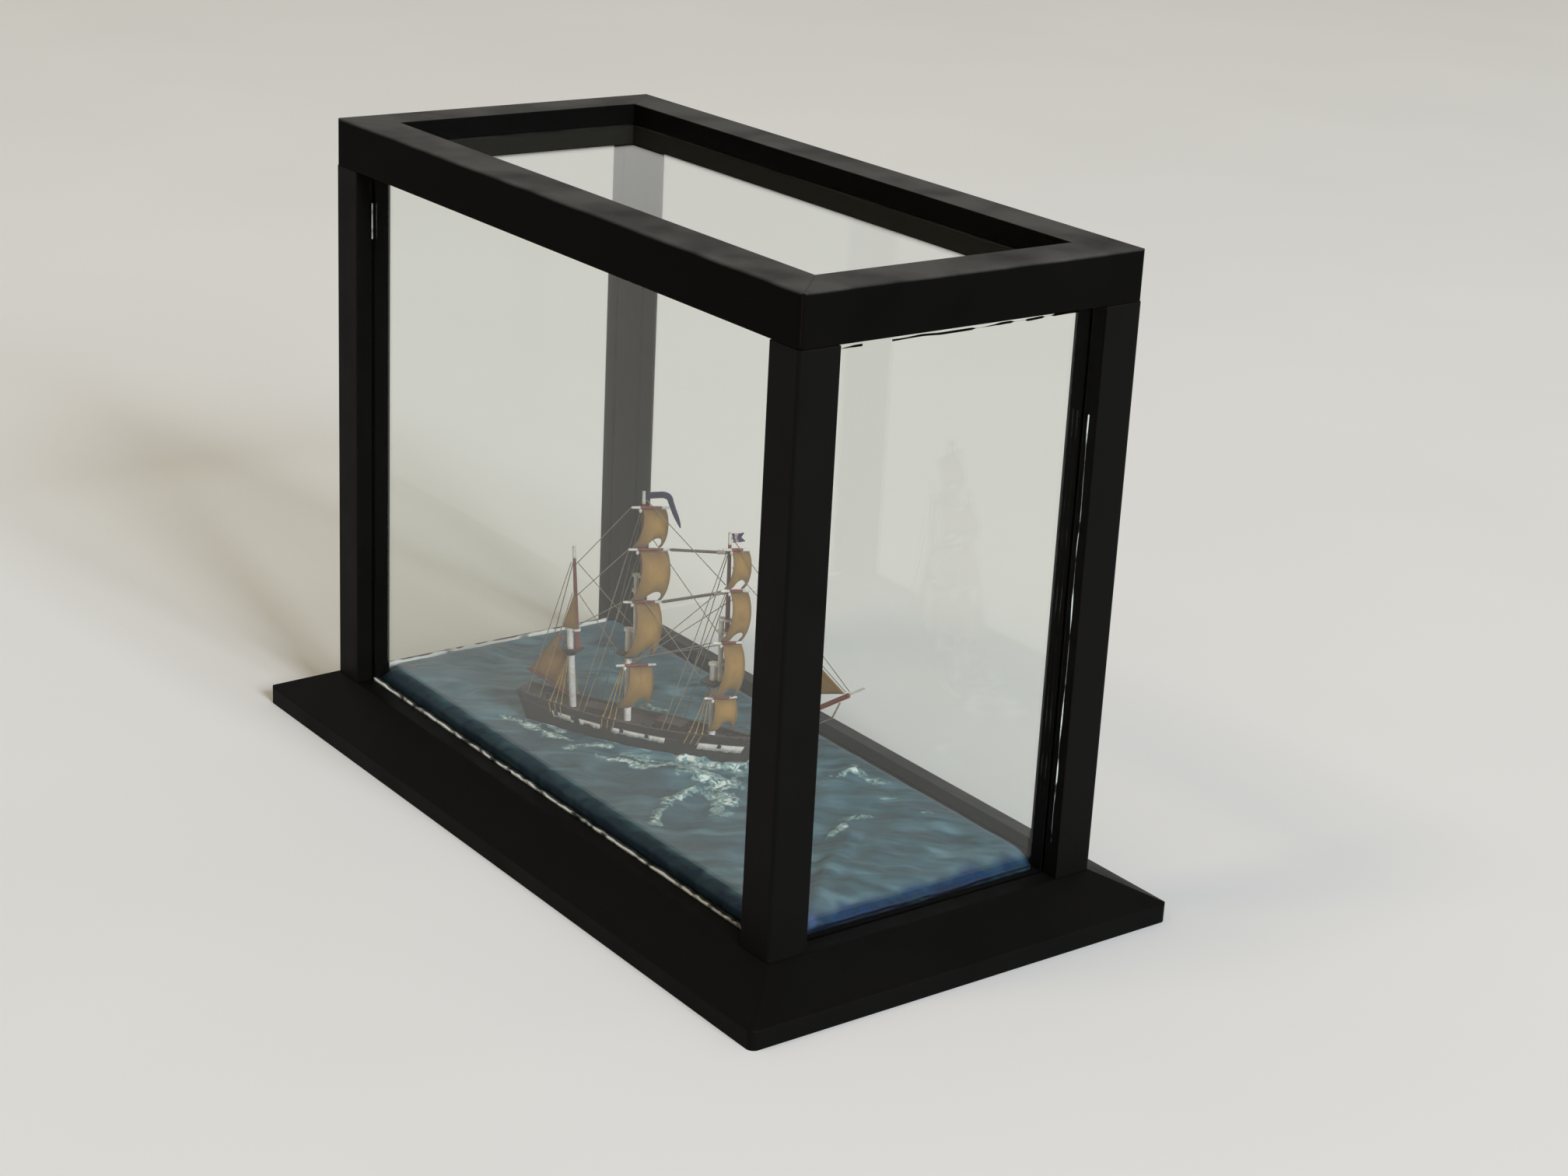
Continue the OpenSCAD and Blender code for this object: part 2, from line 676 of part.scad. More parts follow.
// Sheet bent about the line of its yard, with an arch cut in its foot
module square_sail(m, k) {
  head_z = -(yard_r + rig_gap);
  drop = sail_drop[m][k];
  belly = sail_belly * drop;
  bend_r = (drop * drop / 4 + belly * belly) / (2 * belly);
  port = sail_shift + head_half[m][k];
  starboard = sail_shift - head_half[m][k];
  arch_r = head_half[m][k] * 0.5;
  arch_y = port - arch_r - 1.2;
  color(canvas) braced(m, k) translate([0, 0, head_z]) intersection() {
    rotate([90, 0, 0]) linear_extrude(height = 6 * port, center = true) intersection() {
      translate([belly - bend_r, -drop / 2]) difference() {
        circle(bend_r);
        circle(bend_r - sail_t);
      }
      translate([-0.2, -drop]) square([bend_r + belly, drop]);
    }
    translate([-bend_r, 0, 0]) rotate([90, 0, 90]) linear_extrude(height = 3 * bend_r) difference() {
      polygon([[starboard, 0], [port, 0], [port, -drop], [starboard - sail_flare[m][k], -drop]]);
      translate([arch_y, -drop + foot_arch - arch_r]) circle(arch_r);
      translate([arch_y - arch_r, -drop - 1]) square([2 * arch_r, foot_arch - arch_r + 1]);
    }
  }
}

// Boom, gaff and fore-and-aft sails, in the mizzen mast's own axes
boom_heel = [-lower_r - boom_r - rig_gap, 0, boom_z];
boom_end = boom_heel + boom_len * [-cos(boom_rise), 0, sin(boom_rise)];
gaff_heel = [-lower_r - boom_r - rig_gap, 0, mizzen_mast[0] + top_t + gaff_above_top - boom_r];
gaff_end = gaff_heel + gaff_len * [-cos(gaff_peak), 0, sin(gaff_peak)];

module spanker_boom() {
  color(spar_red) masted(MIZZEN) rod(boom_heel, boom_end, 2 * boom_r);
}

module spanker_gaff() {
  color(spar_red) masted(MIZZEN) rod(gaff_heel, gaff_end, 2 * boom_r);
}

// Flat sail in the middle plane, from corners given as distance ahead and height
module flat_sail(corners) {
  rotate([90, 0, 0]) linear_extrude(height = sail_t, center = true) polygon(corners);
}

module spanker() {
  off = boom_r + rig_gap;
  luff = boom_heel.x - 0.4;
  color(canvas) masted(MIZZEN) flat_sail([
    [luff, boom_heel.z + off * 1.5 + 0.4 * tan(boom_rise)],
    [boom_end.x + 1.2, boom_end.z + off * 1.2 - 1.2 * tan(boom_rise)],
    [gaff_end.x + 0.3, gaff_end.z - off * 1.6],
    [luff - 2.6, mizzen_mast[0] + top_t + rig_gap * 3],
    [luff - 2.6, mizzen_mast[0] - rig_gap * 3],
    [luff, mizzen_mast[0] - 2.2]
  ]);
}

module gaff_topsail() {
  low = lower_z[MIZZEN][1] + rig_gap * 2;
  luff = topmast_x + topmast_r * 0.6;
  side = topmast_r + rig_gap + sail_t / 2;
  color(canvas) masted(MIZZEN) translate([0, -side, 0]) flat_sail([
    [luff - 6.2, low], [luff, low], [luff - 0.2, low + 14.8]
  ]);
}

// Headsail set on the stay between the bowsprit's end and the fore mast
jib_tack = bowsprit_point(bowsprit_len - 1.5) + [0, 0, bowsprit_r + 0.8];
jib_stay_top = hitch(FORE, fore_yard_z[TOPGALLANT] + 9, 1, 0);

module jib() {
  head = jib_tack + 0.58 * (jib_stay_top - jib_tack);
  below = [-0.5, -0.7];
  color(canvas) aboard() flat_sail([
    [jib_tack.x, jib_tack.z] + below, [head.x, head.z] + below, [jib_tack.x - 24, jib_tack.z - 6.5]
  ]);
}

// Pennant at the main truck: streams ahead, then hangs
module pennant() {
  run = 7.1;
  turn_r = 1.8;
  hang = 5.6;
  pole = topgallant_x + truck_r + rig_gap * 2 + pennant_w * sin(flag_rise);
  bend = [run, -turn_r];
  inner = [for (a = [90:-15:0]) bend + turn_r * [cos(a), sin(a)]];
  outer = [for (a = [0:15:90]) bend + (turn_r + pennant_w) * [cos(a), sin(a)]];
  tail = [
    bend + [turn_r + pennant_w * 0.2, -hang], bend + [turn_r + pennant_w * 1.7, -hang - 5.4],
    bend + [turn_r + pennant_w * 0.8, -hang]
  ];
  color(navy) masted(MAIN) translate([pole, 0, truck_z[MAIN] - pennant_w]) rotate([90, -flag_rise, 0])
    linear_extrude(height = flag_t, center = true)
      polygon(concat([[0, 0]], inner, tail, outer, [[0, pennant_w]]));
}

module flag() {
  hoist = 3.6;
  pole = topgallant_x + truck_r + rig_gap * 2 + hoist * sin(flag_rise);
  color(navy) masted(FORE) translate([pole, 0, truck_z[FORE] - hoist]) rotate([90, -flag_rise, 0])
    linear_extrude(height = flag_t, center = true)
      polygon([[0, 0], [flag_len, 0.4], [flag_len - 1.6, hoist * 0.55], [flag_len, hoist], [0, hoist]]);
}

// Rigging: straight lines made fast at both ends
module shrouds() {
  color(rope_grey) aboard() for (m = [FORE, MAIN, MIZZEN], side = [-1, 1], i = [0:2])
    rod(hitch(m, lower_z[m][0] - 2.2 - 0.6 * i, -0.2 - 0.5 * i, side),
      rail_point(mast_x[m] - 1.5 - i * shroud_step, side), rope_d);
}

module stays() {
  end = bowsprit_point(bowsprit_len) + [-0.6, 0, bowsprit_r + 0.5];
  striker = bowsprit_point(bowsprit_len - 4) - [0, 0, bowsprit_r / cos(steeve) + rope_d + rig_gap * 2];
  striker_end = striker + [-3, 0, -7];
  color(rope_grey) aboard() {
    rod(hitch(FORE, truck_z[FORE] - 1.5, 1, -0.6), end + [0.9, 0, 0], rope_d);
    rod(jib_stay_top, jib_tack, rope_d);
    rod(striker, striker_end, 2 * rope_d);
    rod(striker_end + [-0.3, 0, -0.1], [stem_x + rig_gap, 0, rail_at(1) - 2], rope_d);
    rod(hitch(MAIN, truck_z[MAIN] - 3, 1, 0), hitch(FORE, fore_yard_z[TOPGALLANT] + 1.6, -1, 0), rope_d);
    rod(hitch(MAIN, main_yard_z[ROYAL] - 9, 1, 0), hitch(FORE, fore_mast[2] - 0.6, -1, 0), rope_d);
    rod(hitch(MAIN, main_mast[2] - 0.6, 1, 0), hitch(FORE, fore_mast[0] - 3.5, -1, 0), rope_d);
    rod(hitch(MIZZEN, truck_z[MIZZEN] - 6, 1, 0), hitch(MAIN, main_mast[1] + 1.2, -1, 0), rope_d);
    rod(hitch(MIZZEN, truck_z[MIZZEN] - 18.5, 1, 0), hitch(MAIN, main_mast[0] - 4, -1, 0), rope_d);
    for (side = [-1, 1]) {
      rod(hitch(MIZZEN, truck_z[MIZZEN] - 6, -1, side), rail_point(-stern_x + 5, side), rope_d);
      rod(hitch(MIZZEN, truck_z[MIZZEN] - 18.5, -1, side), rail_point(-stern_x + 11, side), rope_d);
      for (m = [FORE, MAIN]) {
        rod(hitch(m, truck_z[m] - 8, -1, side), rail_point(mast_x[m] - 18, side), rope_d);
        rod(hitch(m, truck_z[m] - 24, -1, side), rail_point(mast_x[m] - 15.5, side), rope_d);
      }
    }
  }
}

module braces() {
  off = [yard_r + rig_gap, 0, 0];
  color(rope_grey) aboard() {
    rod(yard_arm(MAIN, TOPGALLANT, 1) + off, hitch(FORE, fore_yard_z[ROYAL] - 1.8, -1, 0), heavy_rope_d);
    rod(yard_arm(MAIN, TOPSAIL, 1) + off, hitch(FORE, fore_yard_z[TOPGALLANT] - 1.2, -1, 0), heavy_rope_d);
    rod(yard_arm(MAIN, ROYAL, -1) - off, hitch(MIZZEN, truck_z[MIZZEN] - 7, 1, -1), rope_d);
    rod(yard_arm(MAIN, TOPGALLANT, -1) - off, hitch(MIZZEN, truck_z[MIZZEN] - 19.5, 1, -1), rope_d);
    rod(yard_arm(MAIN, TOPSAIL, -1) - off, hitch(MIZZEN, mizzen_mast[1] + 1.5, 1, -1), rope_d);
    for (side = [-1, 1]) {
      rod(yard_arm(FORE, TOPGALLANT, side) - off, hitch(MAIN, main_mast[0] - 4.6, 1, side), rope_d);
      rod(yard_arm(FORE, TOPSAIL, side) - off, hitch(MAIN, main_mast[0] - 2.4, 1, side), rope_d);
    }
  }
}

base_plinth();
corner_post(-1, -1);  // post_front_left
corner_post(1, -1);  // post_front_right
corner_post(-1, 1);  // post_back_left
corner_post(1, 1);  // post_back_right
post_screws();
long_pane(-1);  // pane_front
long_pane(1);  // pane_back
end_pane(-1);  // pane_left
end_pane(1);  // pane_right
long_rail(-1);  // lid_rail_front
long_rail(1);  // lid_rail_back
end_rail(-1);  // lid_rail_left
end_rail(1);  // lid_rail_right
lid_glass();
sea();
hull();
deck();
port_strips();
deck_houses();
lower_mast(FORE);  // fore_lower_mast
topmast(FORE, fore_mast[3], topmast_r);  // fore_topmast
topgallant_mast(FORE);  // fore_topgallant_mast
lower_mast(MAIN);  // main_lower_mast
topmast(MAIN, main_mast[3], topmast_r);  // main_topmast
topgallant_mast(MAIN);  // main_topgallant_mast
lower_mast(MIZZEN);  // mizzen_lower_mast
topmast(MIZZEN, truck_z[MIZZEN], truck_r);  // mizzen_topmast
top(FORE);  // fore_top
top(MAIN);  // main_top
top(MIZZEN);  // mizzen_top
mast_caps();
bowsprit();
jib_boom();
yard(FORE, COURSE);  // fore_course_yard
yard(FORE, TOPSAIL);  // fore_topsail_yard
yard(FORE, TOPGALLANT);  // fore_topgallant_yard
yard(FORE, ROYAL);  // fore_royal_yard
yard(MAIN, COURSE);  // main_course_yard
yard(MAIN, TOPSAIL);  // main_topsail_yard
yard(MAIN, TOPGALLANT);  // main_topgallant_yard
yard(MAIN, ROYAL);  // main_royal_yard
square_sail(FORE, COURSE);  // fore_course
square_sail(FORE, TOPSAIL);  // fore_topsail
square_sail(FORE, TOPGALLANT);  // fore_topgallant
square_sail(FORE, ROYAL);  // fore_royal
square_sail(MAIN, COURSE);  // main_course
square_sail(MAIN, TOPSAIL);  // main_topsail
square_sail(MAIN, TOPGALLANT);  // main_topgallant
square_sail(MAIN, ROYAL);  // main_royal
spanker_boom();
spanker_gaff();
spanker();
gaff_topsail();
jib();
pennant();
flag();
shrouds();
stays();
braces();
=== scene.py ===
"""Looks of a cased waterline ship model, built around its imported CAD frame.

The case, masts, tops and yards are the frame's own solids under new finishes. The sea, hull, sails, flags and rigging
are surfaces worked out with numpy, which stand for the frame's plainer solids and keep their places.
"""

import math
from dataclasses import dataclass
from functools import partial
from itertools import product

import bmesh
import bpy
import numpy as np
from bpy.props import FloatProperty, FloatVectorProperty, PointerProperty
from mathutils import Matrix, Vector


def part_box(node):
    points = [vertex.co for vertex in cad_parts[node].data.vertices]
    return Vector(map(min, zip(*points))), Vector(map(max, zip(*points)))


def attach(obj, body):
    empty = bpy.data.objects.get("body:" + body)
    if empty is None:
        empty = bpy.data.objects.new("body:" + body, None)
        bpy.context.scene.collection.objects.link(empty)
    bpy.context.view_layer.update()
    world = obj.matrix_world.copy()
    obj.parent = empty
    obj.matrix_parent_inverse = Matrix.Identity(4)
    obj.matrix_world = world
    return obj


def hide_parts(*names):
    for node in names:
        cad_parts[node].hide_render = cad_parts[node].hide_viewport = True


bl_info = {
    "name": "Cased ship model",
    "version": (1, 0, 0),
    "blender": (4, 5, 0),
    "location": "View3D > Sidebar > Ship case",
    "description": "Finishes and soft forms of a waterline ship model in its glazed case",
    "category": "Object",
}

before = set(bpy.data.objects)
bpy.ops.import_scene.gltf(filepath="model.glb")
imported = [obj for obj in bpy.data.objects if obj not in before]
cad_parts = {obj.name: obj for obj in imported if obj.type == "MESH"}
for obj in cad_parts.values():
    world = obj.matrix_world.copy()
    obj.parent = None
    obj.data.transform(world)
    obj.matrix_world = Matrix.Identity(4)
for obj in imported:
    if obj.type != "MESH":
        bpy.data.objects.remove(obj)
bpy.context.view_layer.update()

MM = 0.001
CASE = "case"
FORE, MAIN, MIZZEN = MASTS = 0, 1, 2
MAST_NAMES = ("fore", "main", "mizzen")
SQUARE_RIGGED = (FORE, MAIN)
TIERS = ("course", "topsail", "topgallant", "royal")
TOPSAIL, TOPGALLANT, ROYAL = 1, 2, 3
STARBOARD, PORT = SIDES = -1, 1


def linear(code):
    """Linear RGB of an sRGB hex colour."""
    srgb = np.array([int(code[i : i + 2], 16) for i in (1, 3, 5)]) / 255
    return tuple(float(c) for c in np.where(srgb <= 0.04045, srgb / 12.92, ((srgb + 0.055) / 1.055) ** 2.4))


def dim(rgb, share):
    """Colour with a share of its light left."""
    return tuple(share * c for c in rgb)


def colour(name, description, code):
    """Colour property whose default is an sRGB hex value."""
    return FloatVectorProperty(
        name=name, description=description, subtype="COLOR", size=3, min=0, max=1, default=linear(code)
    )


def length(name, description, millimetres):
    """Length property whose default is in millimetres."""
    return FloatProperty(name=name, description=description, subtype="DISTANCE", min=0, default=millimetres * MM)


class SHIPCASE_PG_case(bpy.types.PropertyGroup):
    """Finish of the wooden case and its panes"""

    paint: colour("Paint", "Black paint of the case", "#070706")
    paint_thin: colour("Thin paint", "Black paint where the brush left it thin", "#0F0E0C")
    bare_wood: colour("Bare wood", "Wood that shows at rubbed edges", "#4A3626")
    # Grey for dust and for painted light from above on the lid's upward faces
    dust_and_top_light: colour("Dust", "Dust that lies on top of the lid", "#5C5B57")
    inside: colour("Inside", "Thin grey coat under the lid's pane", "#34322D")
    rub: length("Rub", "How far wear reaches in from an edge", 1.1)
    glass: colour("Glass", "Tint of the window glass", "#FAFCFA")
    glass_shade: colour("Glass shade", "What each face of a pane leaves of the lamps' light", "#F4F4F1")
    # Whitish ground edge, also a painted glow of light carried down the panes
    ground_edge_glow: colour("Ground edge", "Rough edge of the cut panes", "#E4E8E2")
    # Near black between the dashes of the edges' glow
    edge_gap_dark: colour("Glass dirt", "Dirt in the chips of the panes' edges", "#14171A")


class SHIPCASE_PG_sea(bpy.types.PropertyGroup):
    """Finish of the carved sea"""

    water: colour("Water", "Grey-blue of the open water", "#365861")
    water_pale: colour("Pale water", "Paler strokes over the water", "#5F808A")
    water_deep: colour("Deep water", "Darker troughs", "#243741")
    slate: colour("Slate", "Purplish grey of the calmer patches", "#394F59")
    rim: colour("Rim", "Dark teal along the block's edges", "#122A38")
    rim_blue: colour("Blue rim", "Strong blue of the right-hand edge", "#0D2C4E")
    # Painted shade at the foot of the right-hand edge, by the gap to the pane
    rim_foot_shade: colour("Rim foot", "Blue-black at the foot of the right-hand edge", "#070D18")
    foam: colour("Foam", "Crests and wake", "#CFDCD6")
    foam_shade: colour("Foam shade", "Thin green foam round the crests", "#789695")
    ripple: length("Ripple", "Height of the small carved ripples", 0.7)


class SHIPCASE_PG_ship(bpy.types.PropertyGroup):
    """Finish of the ship"""

    hull: colour("Hull", "Dark brown hull paint", "#211A15")
    rail: colour("Rail", "Brown of the rail and wales", "#3A2D21")
    port: colour("Ports", "Black of the port lids", "#14120F")
    band: colour("Band", "Worn white of the painted band", "#CFCBC1")
    deck: colour("Deck", "Bare wood of the deck", "#43382B")
    sail: colour("Sail", "Tan of the sails", "#8B6A2D")
    # Brown of the sails' edges, standing for browning and for painted shade
    sail_brown_and_shade: colour("Sail edge", "Browned edge of the sails", "#5B4119")
    spar: colour("Spar", "Reddish stain of the upper spars", "#6E3020")
    dark_spar: colour("Dark spar", "Dark brown of the tops", "#30281F")
    mast: colour("Mast", "Off-white of the lower masts and spar ends", "#D0CDC4")
    thread: colour("Thread", "Grey-brown of the rigging thread", "#7A6E58")
    shroud: colour("Shroud", "Ochre of the shrouds", "#A0823F")
    heavy_line: colour("Heavy line", "Olive grey of the two heavy lines", "#6B6551")
    pennant: colour("Pennant", "Navy of the pennant", "#16143C")
    flag_fly: colour("Flag field", "Pale middle of the flag", "#E0C6CA")
    sail_t: length("Sail thickness", "Thickness of the sails", 0.35)
    flag_t: length("Flag thickness", "Thickness of the pennant and the flag", 0.3)


class SHIPCASE_PG_stage(bpy.types.PropertyGroup):
    """Camera, floor and light"""

    floor: colour("Floor", "Pale floor", "#DBDBD5")
    sky: colour("Surroundings", "Pale surroundings that show past the floor", "#D0CFCB")
    camera_at: FloatVectorProperty(
        name="Camera place", description="Camera's place", subtype="TRANSLATION", default=(0.8227, -0.5838, 0.4570)
    )
    camera_turn: FloatVectorProperty(
        name="Camera turn",
        description="Camera's turn",
        subtype="EULER",
        default=tuple(math.radians(a) for a in (70.046, -2.818, 53.774)),
    )
    lens: FloatProperty(name="Lens", description="Focal length", subtype="DISTANCE_CAMERA", default=64.88)
    key_power: FloatProperty(name="Key", description="Power of the large soft lamp", subtype="POWER", default=216)
    key_tint: colour("Key tint", "Warm tint of the large soft lamp", "#FFE7C4")
    fill_power: FloatProperty(name="Fill", description="Power of the cool side lamp", subtype="POWER", default=1270)
    fill_tint: colour("Fill tint", "Cool tint of the side lamp", "#E6EDFF")
    sky_tint: colour("Sky tint", "Warm tint of the even light", "#FFF8E9")
    sky_light: FloatProperty(name="Sky light", description="Strength of the even light", min=0, default=0.38)


# Meshes


@dataclass
class Patch:
    """Grid of points in millimetres, rows by columns by three."""

    grid: np.ndarray
    material: int = 0
    ring: bool = False  # each row closes on itself
    ends: bool = False  # first and last rows are filled


def solid(rings, material=0):
    """Closed form from rings of points, one ring to a row."""
    return Patch(rings, material, ring=True, ends=True)


def lay(*patches):
    """Points, faces, face materials and UVs of some patches. A quad joins four neighbours of a grid."""
    points, faces, owners, uvs, start = [], [], [], [], 0
    for patch in patches:
        rows, columns = patch.grid.shape[:2]
        i = np.arange(rows - 1)[:, None] * columns
        j = np.arange(columns if patch.ring else columns - 1)[None, :]
        k = (j + 1) % columns
        quads = (np.stack([i + j, i + k, i + k + columns, i + j + columns], -1).reshape(-1, 4) + start).tolist()
        if patch.ends:
            first = np.arange(start, start + columns)
            quads += [first[::-1].tolist(), (first + (rows - 1) * columns).tolist()]
        across, down = np.meshgrid(np.linspace(0, 1, columns), np.linspace(0, 1, rows))
        points.append(patch.grid.reshape(-1, 3))
        uvs.append(np.stack([across, down], -1).reshape(-1, 2))
        faces += quads
        owners += [patch.material] * len(quads)
        start += rows * columns
    return np.concatenate(points), faces, owners, np.concatenate(uvs)


def piece(name, patches, materials, stands_for=(), thickness=0.0, values=None):
    """One object of the case from patches: merged, facing outwards, riding on the case body.

    values are named numbers for each point of the patches, in order. A thickness turns a sheet into a plate.
    """
    points, faces, owners, uvs = lay(*patches)
    mesh = bpy.data.meshes.new(name)
    mesh.from_pydata((points * MM).tolist(), [], faces)
    mesh.polygons.foreach_set("material_index", owners)
    mesh.polygons.foreach_set("use_smooth", [True] * len(faces))
    corners = np.zeros(len(mesh.loops), np.int32)
    mesh.loops.foreach_get("vertex_index", corners)
    mesh.uv_layers.new(name="UVMap").data.foreach_set("uv", uvs[corners].astype(np.float32).ravel())
    for key, numbers in (values or {}).items():
        layer = mesh.attributes.new(key, "FLOAT", "POINT")
        layer.data.foreach_set("value", np.asarray(numbers, np.float32).ravel())
    same_place = 1e-7
    edit = bmesh.new()
    edit.from_mesh(mesh)
    bmesh.ops.remove_doubles(edit, verts=edit.verts, dist=same_place)
    bmesh.ops.dissolve_degenerate(edit, edges=edit.edges, dist=same_place)
    bmesh.ops.recalc_face_normals(edit, faces=edit.faces)
    edit.to_mesh(mesh)
    edit.free()
    for material in materials:
        mesh.materials.append(material)
    made = bpy.data.objects.new(name, mesh)
    bpy.context.scene.collection.objects.link(made)
    if thickness:
        plate = made.modifiers.new("thickness", "SOLIDIFY")
        plate.thickness = thickness
        plate.offset = 0
    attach(made, CASE)
    if stands_for:
        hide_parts(*stands_for)


def dress(material, *nodes):
    """Gives CAD nodes a finish, leaving their shapes alone."""
    for node in nodes:
        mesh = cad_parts[node].data
        mesh.materials.clear()
        mesh.materials.append(material)


def at(x, y, z):
    """Point, step or rows of points, from numbers or from arrays that fit each other."""
    return np.stack(np.broadcast_arrays(*(np.asarray(v, float) for v in (x, y, z))), -1)


def unit(v):
    """Vectors scaled to length one."""
    return v / np.maximum(np.linalg.norm(v, axis=-1, keepdims=True), 1e-12)


def tube(path, radius, sides, plies=0, lay_length=1.0):
    """Round or laid cord along a path: a circle carried square to the path.

    With plies, the circle's radius grows and shrinks by a sixth, plies times a turn, and the pattern turns once in each
    lay length, as twisted thread does.
    """
    ahead = unit(np.gradient(path, axis=0))
    steep = np.abs(ahead[:, 2:]) >= 0.9
    across = unit(np.cross(ahead, np.where(steep, [[1.0, 0, 0]], [[0.0, 0, 1]])))
    over = np.cross(across, ahead)
    along = np.concatenate([[0], np.cumsum(np.linalg.norm(np.diff(path, axis=0), axis=1))])
    angle = np.linspace(0, 2 * np.pi, sides, endpoint=False)[None, :]
    swell = 1 + (np.cos(plies * (angle - 2 * np.pi * along[:, None] / lay_length)) / 6 if plies else 0)
    reach = np.broadcast_to(np.asarray(radius, float).reshape(-1, 1), (len(path), 1)) * swell
    circle = np.cos(angle)[..., None] * across[:, None] + np.sin(angle)[..., None] * over[:, None]
    return path[:, None] + reach[..., None] * circle


def egg(middle, half, radius, sides, steps):
    """Egg-shaped block: an upright tube, its radius the square root of 1 - u^2 with u from end to end."""
    u = np.linspace(-0.99, 0.99, steps)
    return tube(middle + at(0, 0, half * u), radius * np.sqrt(1 - u**2), sides)


def slab(centre, across, along, up):
    """Box as a grid of rings, from its centre and its half length each way, with its corners eased."""
    e = 0.82
    ring = np.array([[-1, -e], [-e, -1], [e, -1], [1, -e], [1, e], [e, 1], [-e, 1], [-1, e]])
    flat = at(across * ring[:, 0], along * ring[:, 1], 0)
    return np.array([centre + shrink * flat + at(0, 0, z * up) for z, shrink in ((-1, e), (-e, 1), (e, 1), (1, e))])


def lattice(ix, iy, seed):
    """Number from 0 to 1 for each whole-number place: the fractional part of a large sine."""
    v = np.sin(ix * 127.1 + iy * 311.7 + seed * 74.7) * 43758.5453
    return v - np.floor(v)


def noise(x, y, seed):
    """Smooth noise from -1 to 1: lattice numbers blended by 3t^2 - 2t^3 both ways."""
    ix, iy = np.floor(x), np.floor(y)
    ux, uy = ease(x - ix), ease(y - iy)
    low = lattice(ix, iy, seed) * (1 - ux) + lattice(ix + 1, iy, seed) * ux
    high = lattice(ix, iy + 1, seed) * (1 - ux) + lattice(ix + 1, iy + 1, seed) * ux
    return 2 * (low * (1 - uy) + high * uy) - 1


def ease(t):
    """Smooth step from 0 to 1."""
    t = np.clip(t, 0, 1)
    return t * t * (3 - 2 * t)


def turn(points, axis, degrees):
    """Points turned about an axis by the right-hand rule."""
    a, b = ((1, 2), (2, 0), (0, 1))[axis]
    c, s = math.cos(math.radians(degrees)), math.sin(math.radians(degrees))
    out = points.copy()
    out[..., a] = c * points[..., a] - s * points[..., b]
    out[..., b] = s * points[..., a] + c * points[..., b]
    return out


# Materials


def add_node(tree, kind, *feeds, out=None, stops=(), **named):
    """Adds a shader node and gives its output of that name, or its first.

    Feeds are values or sockets for its inputs in their order. A name with a capital is the input of that name, with _
    for a space, and any other a setting of the node. Stops are a colour ramp's places and colours.
    """
    node = tree.nodes.new("ShaderNode" + kind)
    for key, value in named.items():
        if key[0].islower():
            setattr(node, key, value)
    fed = list(zip((socket for socket in node.inputs if socket.enabled), feeds))
    fed += [(node.inputs[key.replace("_", " ")], value) for key, value in named.items() if key[0].isupper()]
    for socket, value in fed:
        if isinstance(value, bpy.types.NodeSocket):
            tree.links.new(value, socket)
        else:
            socket.default_value = (*value, 1.0) if socket.type == "RGBA" else value
    if stops:
        elements = node.color_ramp.elements
        while len(elements) < len(stops):
            elements.new(1.0)
        for element, (place, shade) in zip(elements, stops):
            element.position = place
            element.color = (*shade, 1.0)
    return node.outputs[out] if out else next((socket for socket in node.outputs if socket.enabled), None)


def finish_of(name):
    """New material with an empty node tree, the function that adds a node to it, and its Object coordinates."""
    material = bpy.data.materials.new(name)
    material.use_nodes = True
    material.node_tree.nodes.clear()
    add = partial(add_node, material.node_tree)
    return material, add, add("TexCoord", out="Object")


def per(millimetres):
    """Texture scale at which a pattern's features are about this large."""
    return 1 / (millimetres * MM)


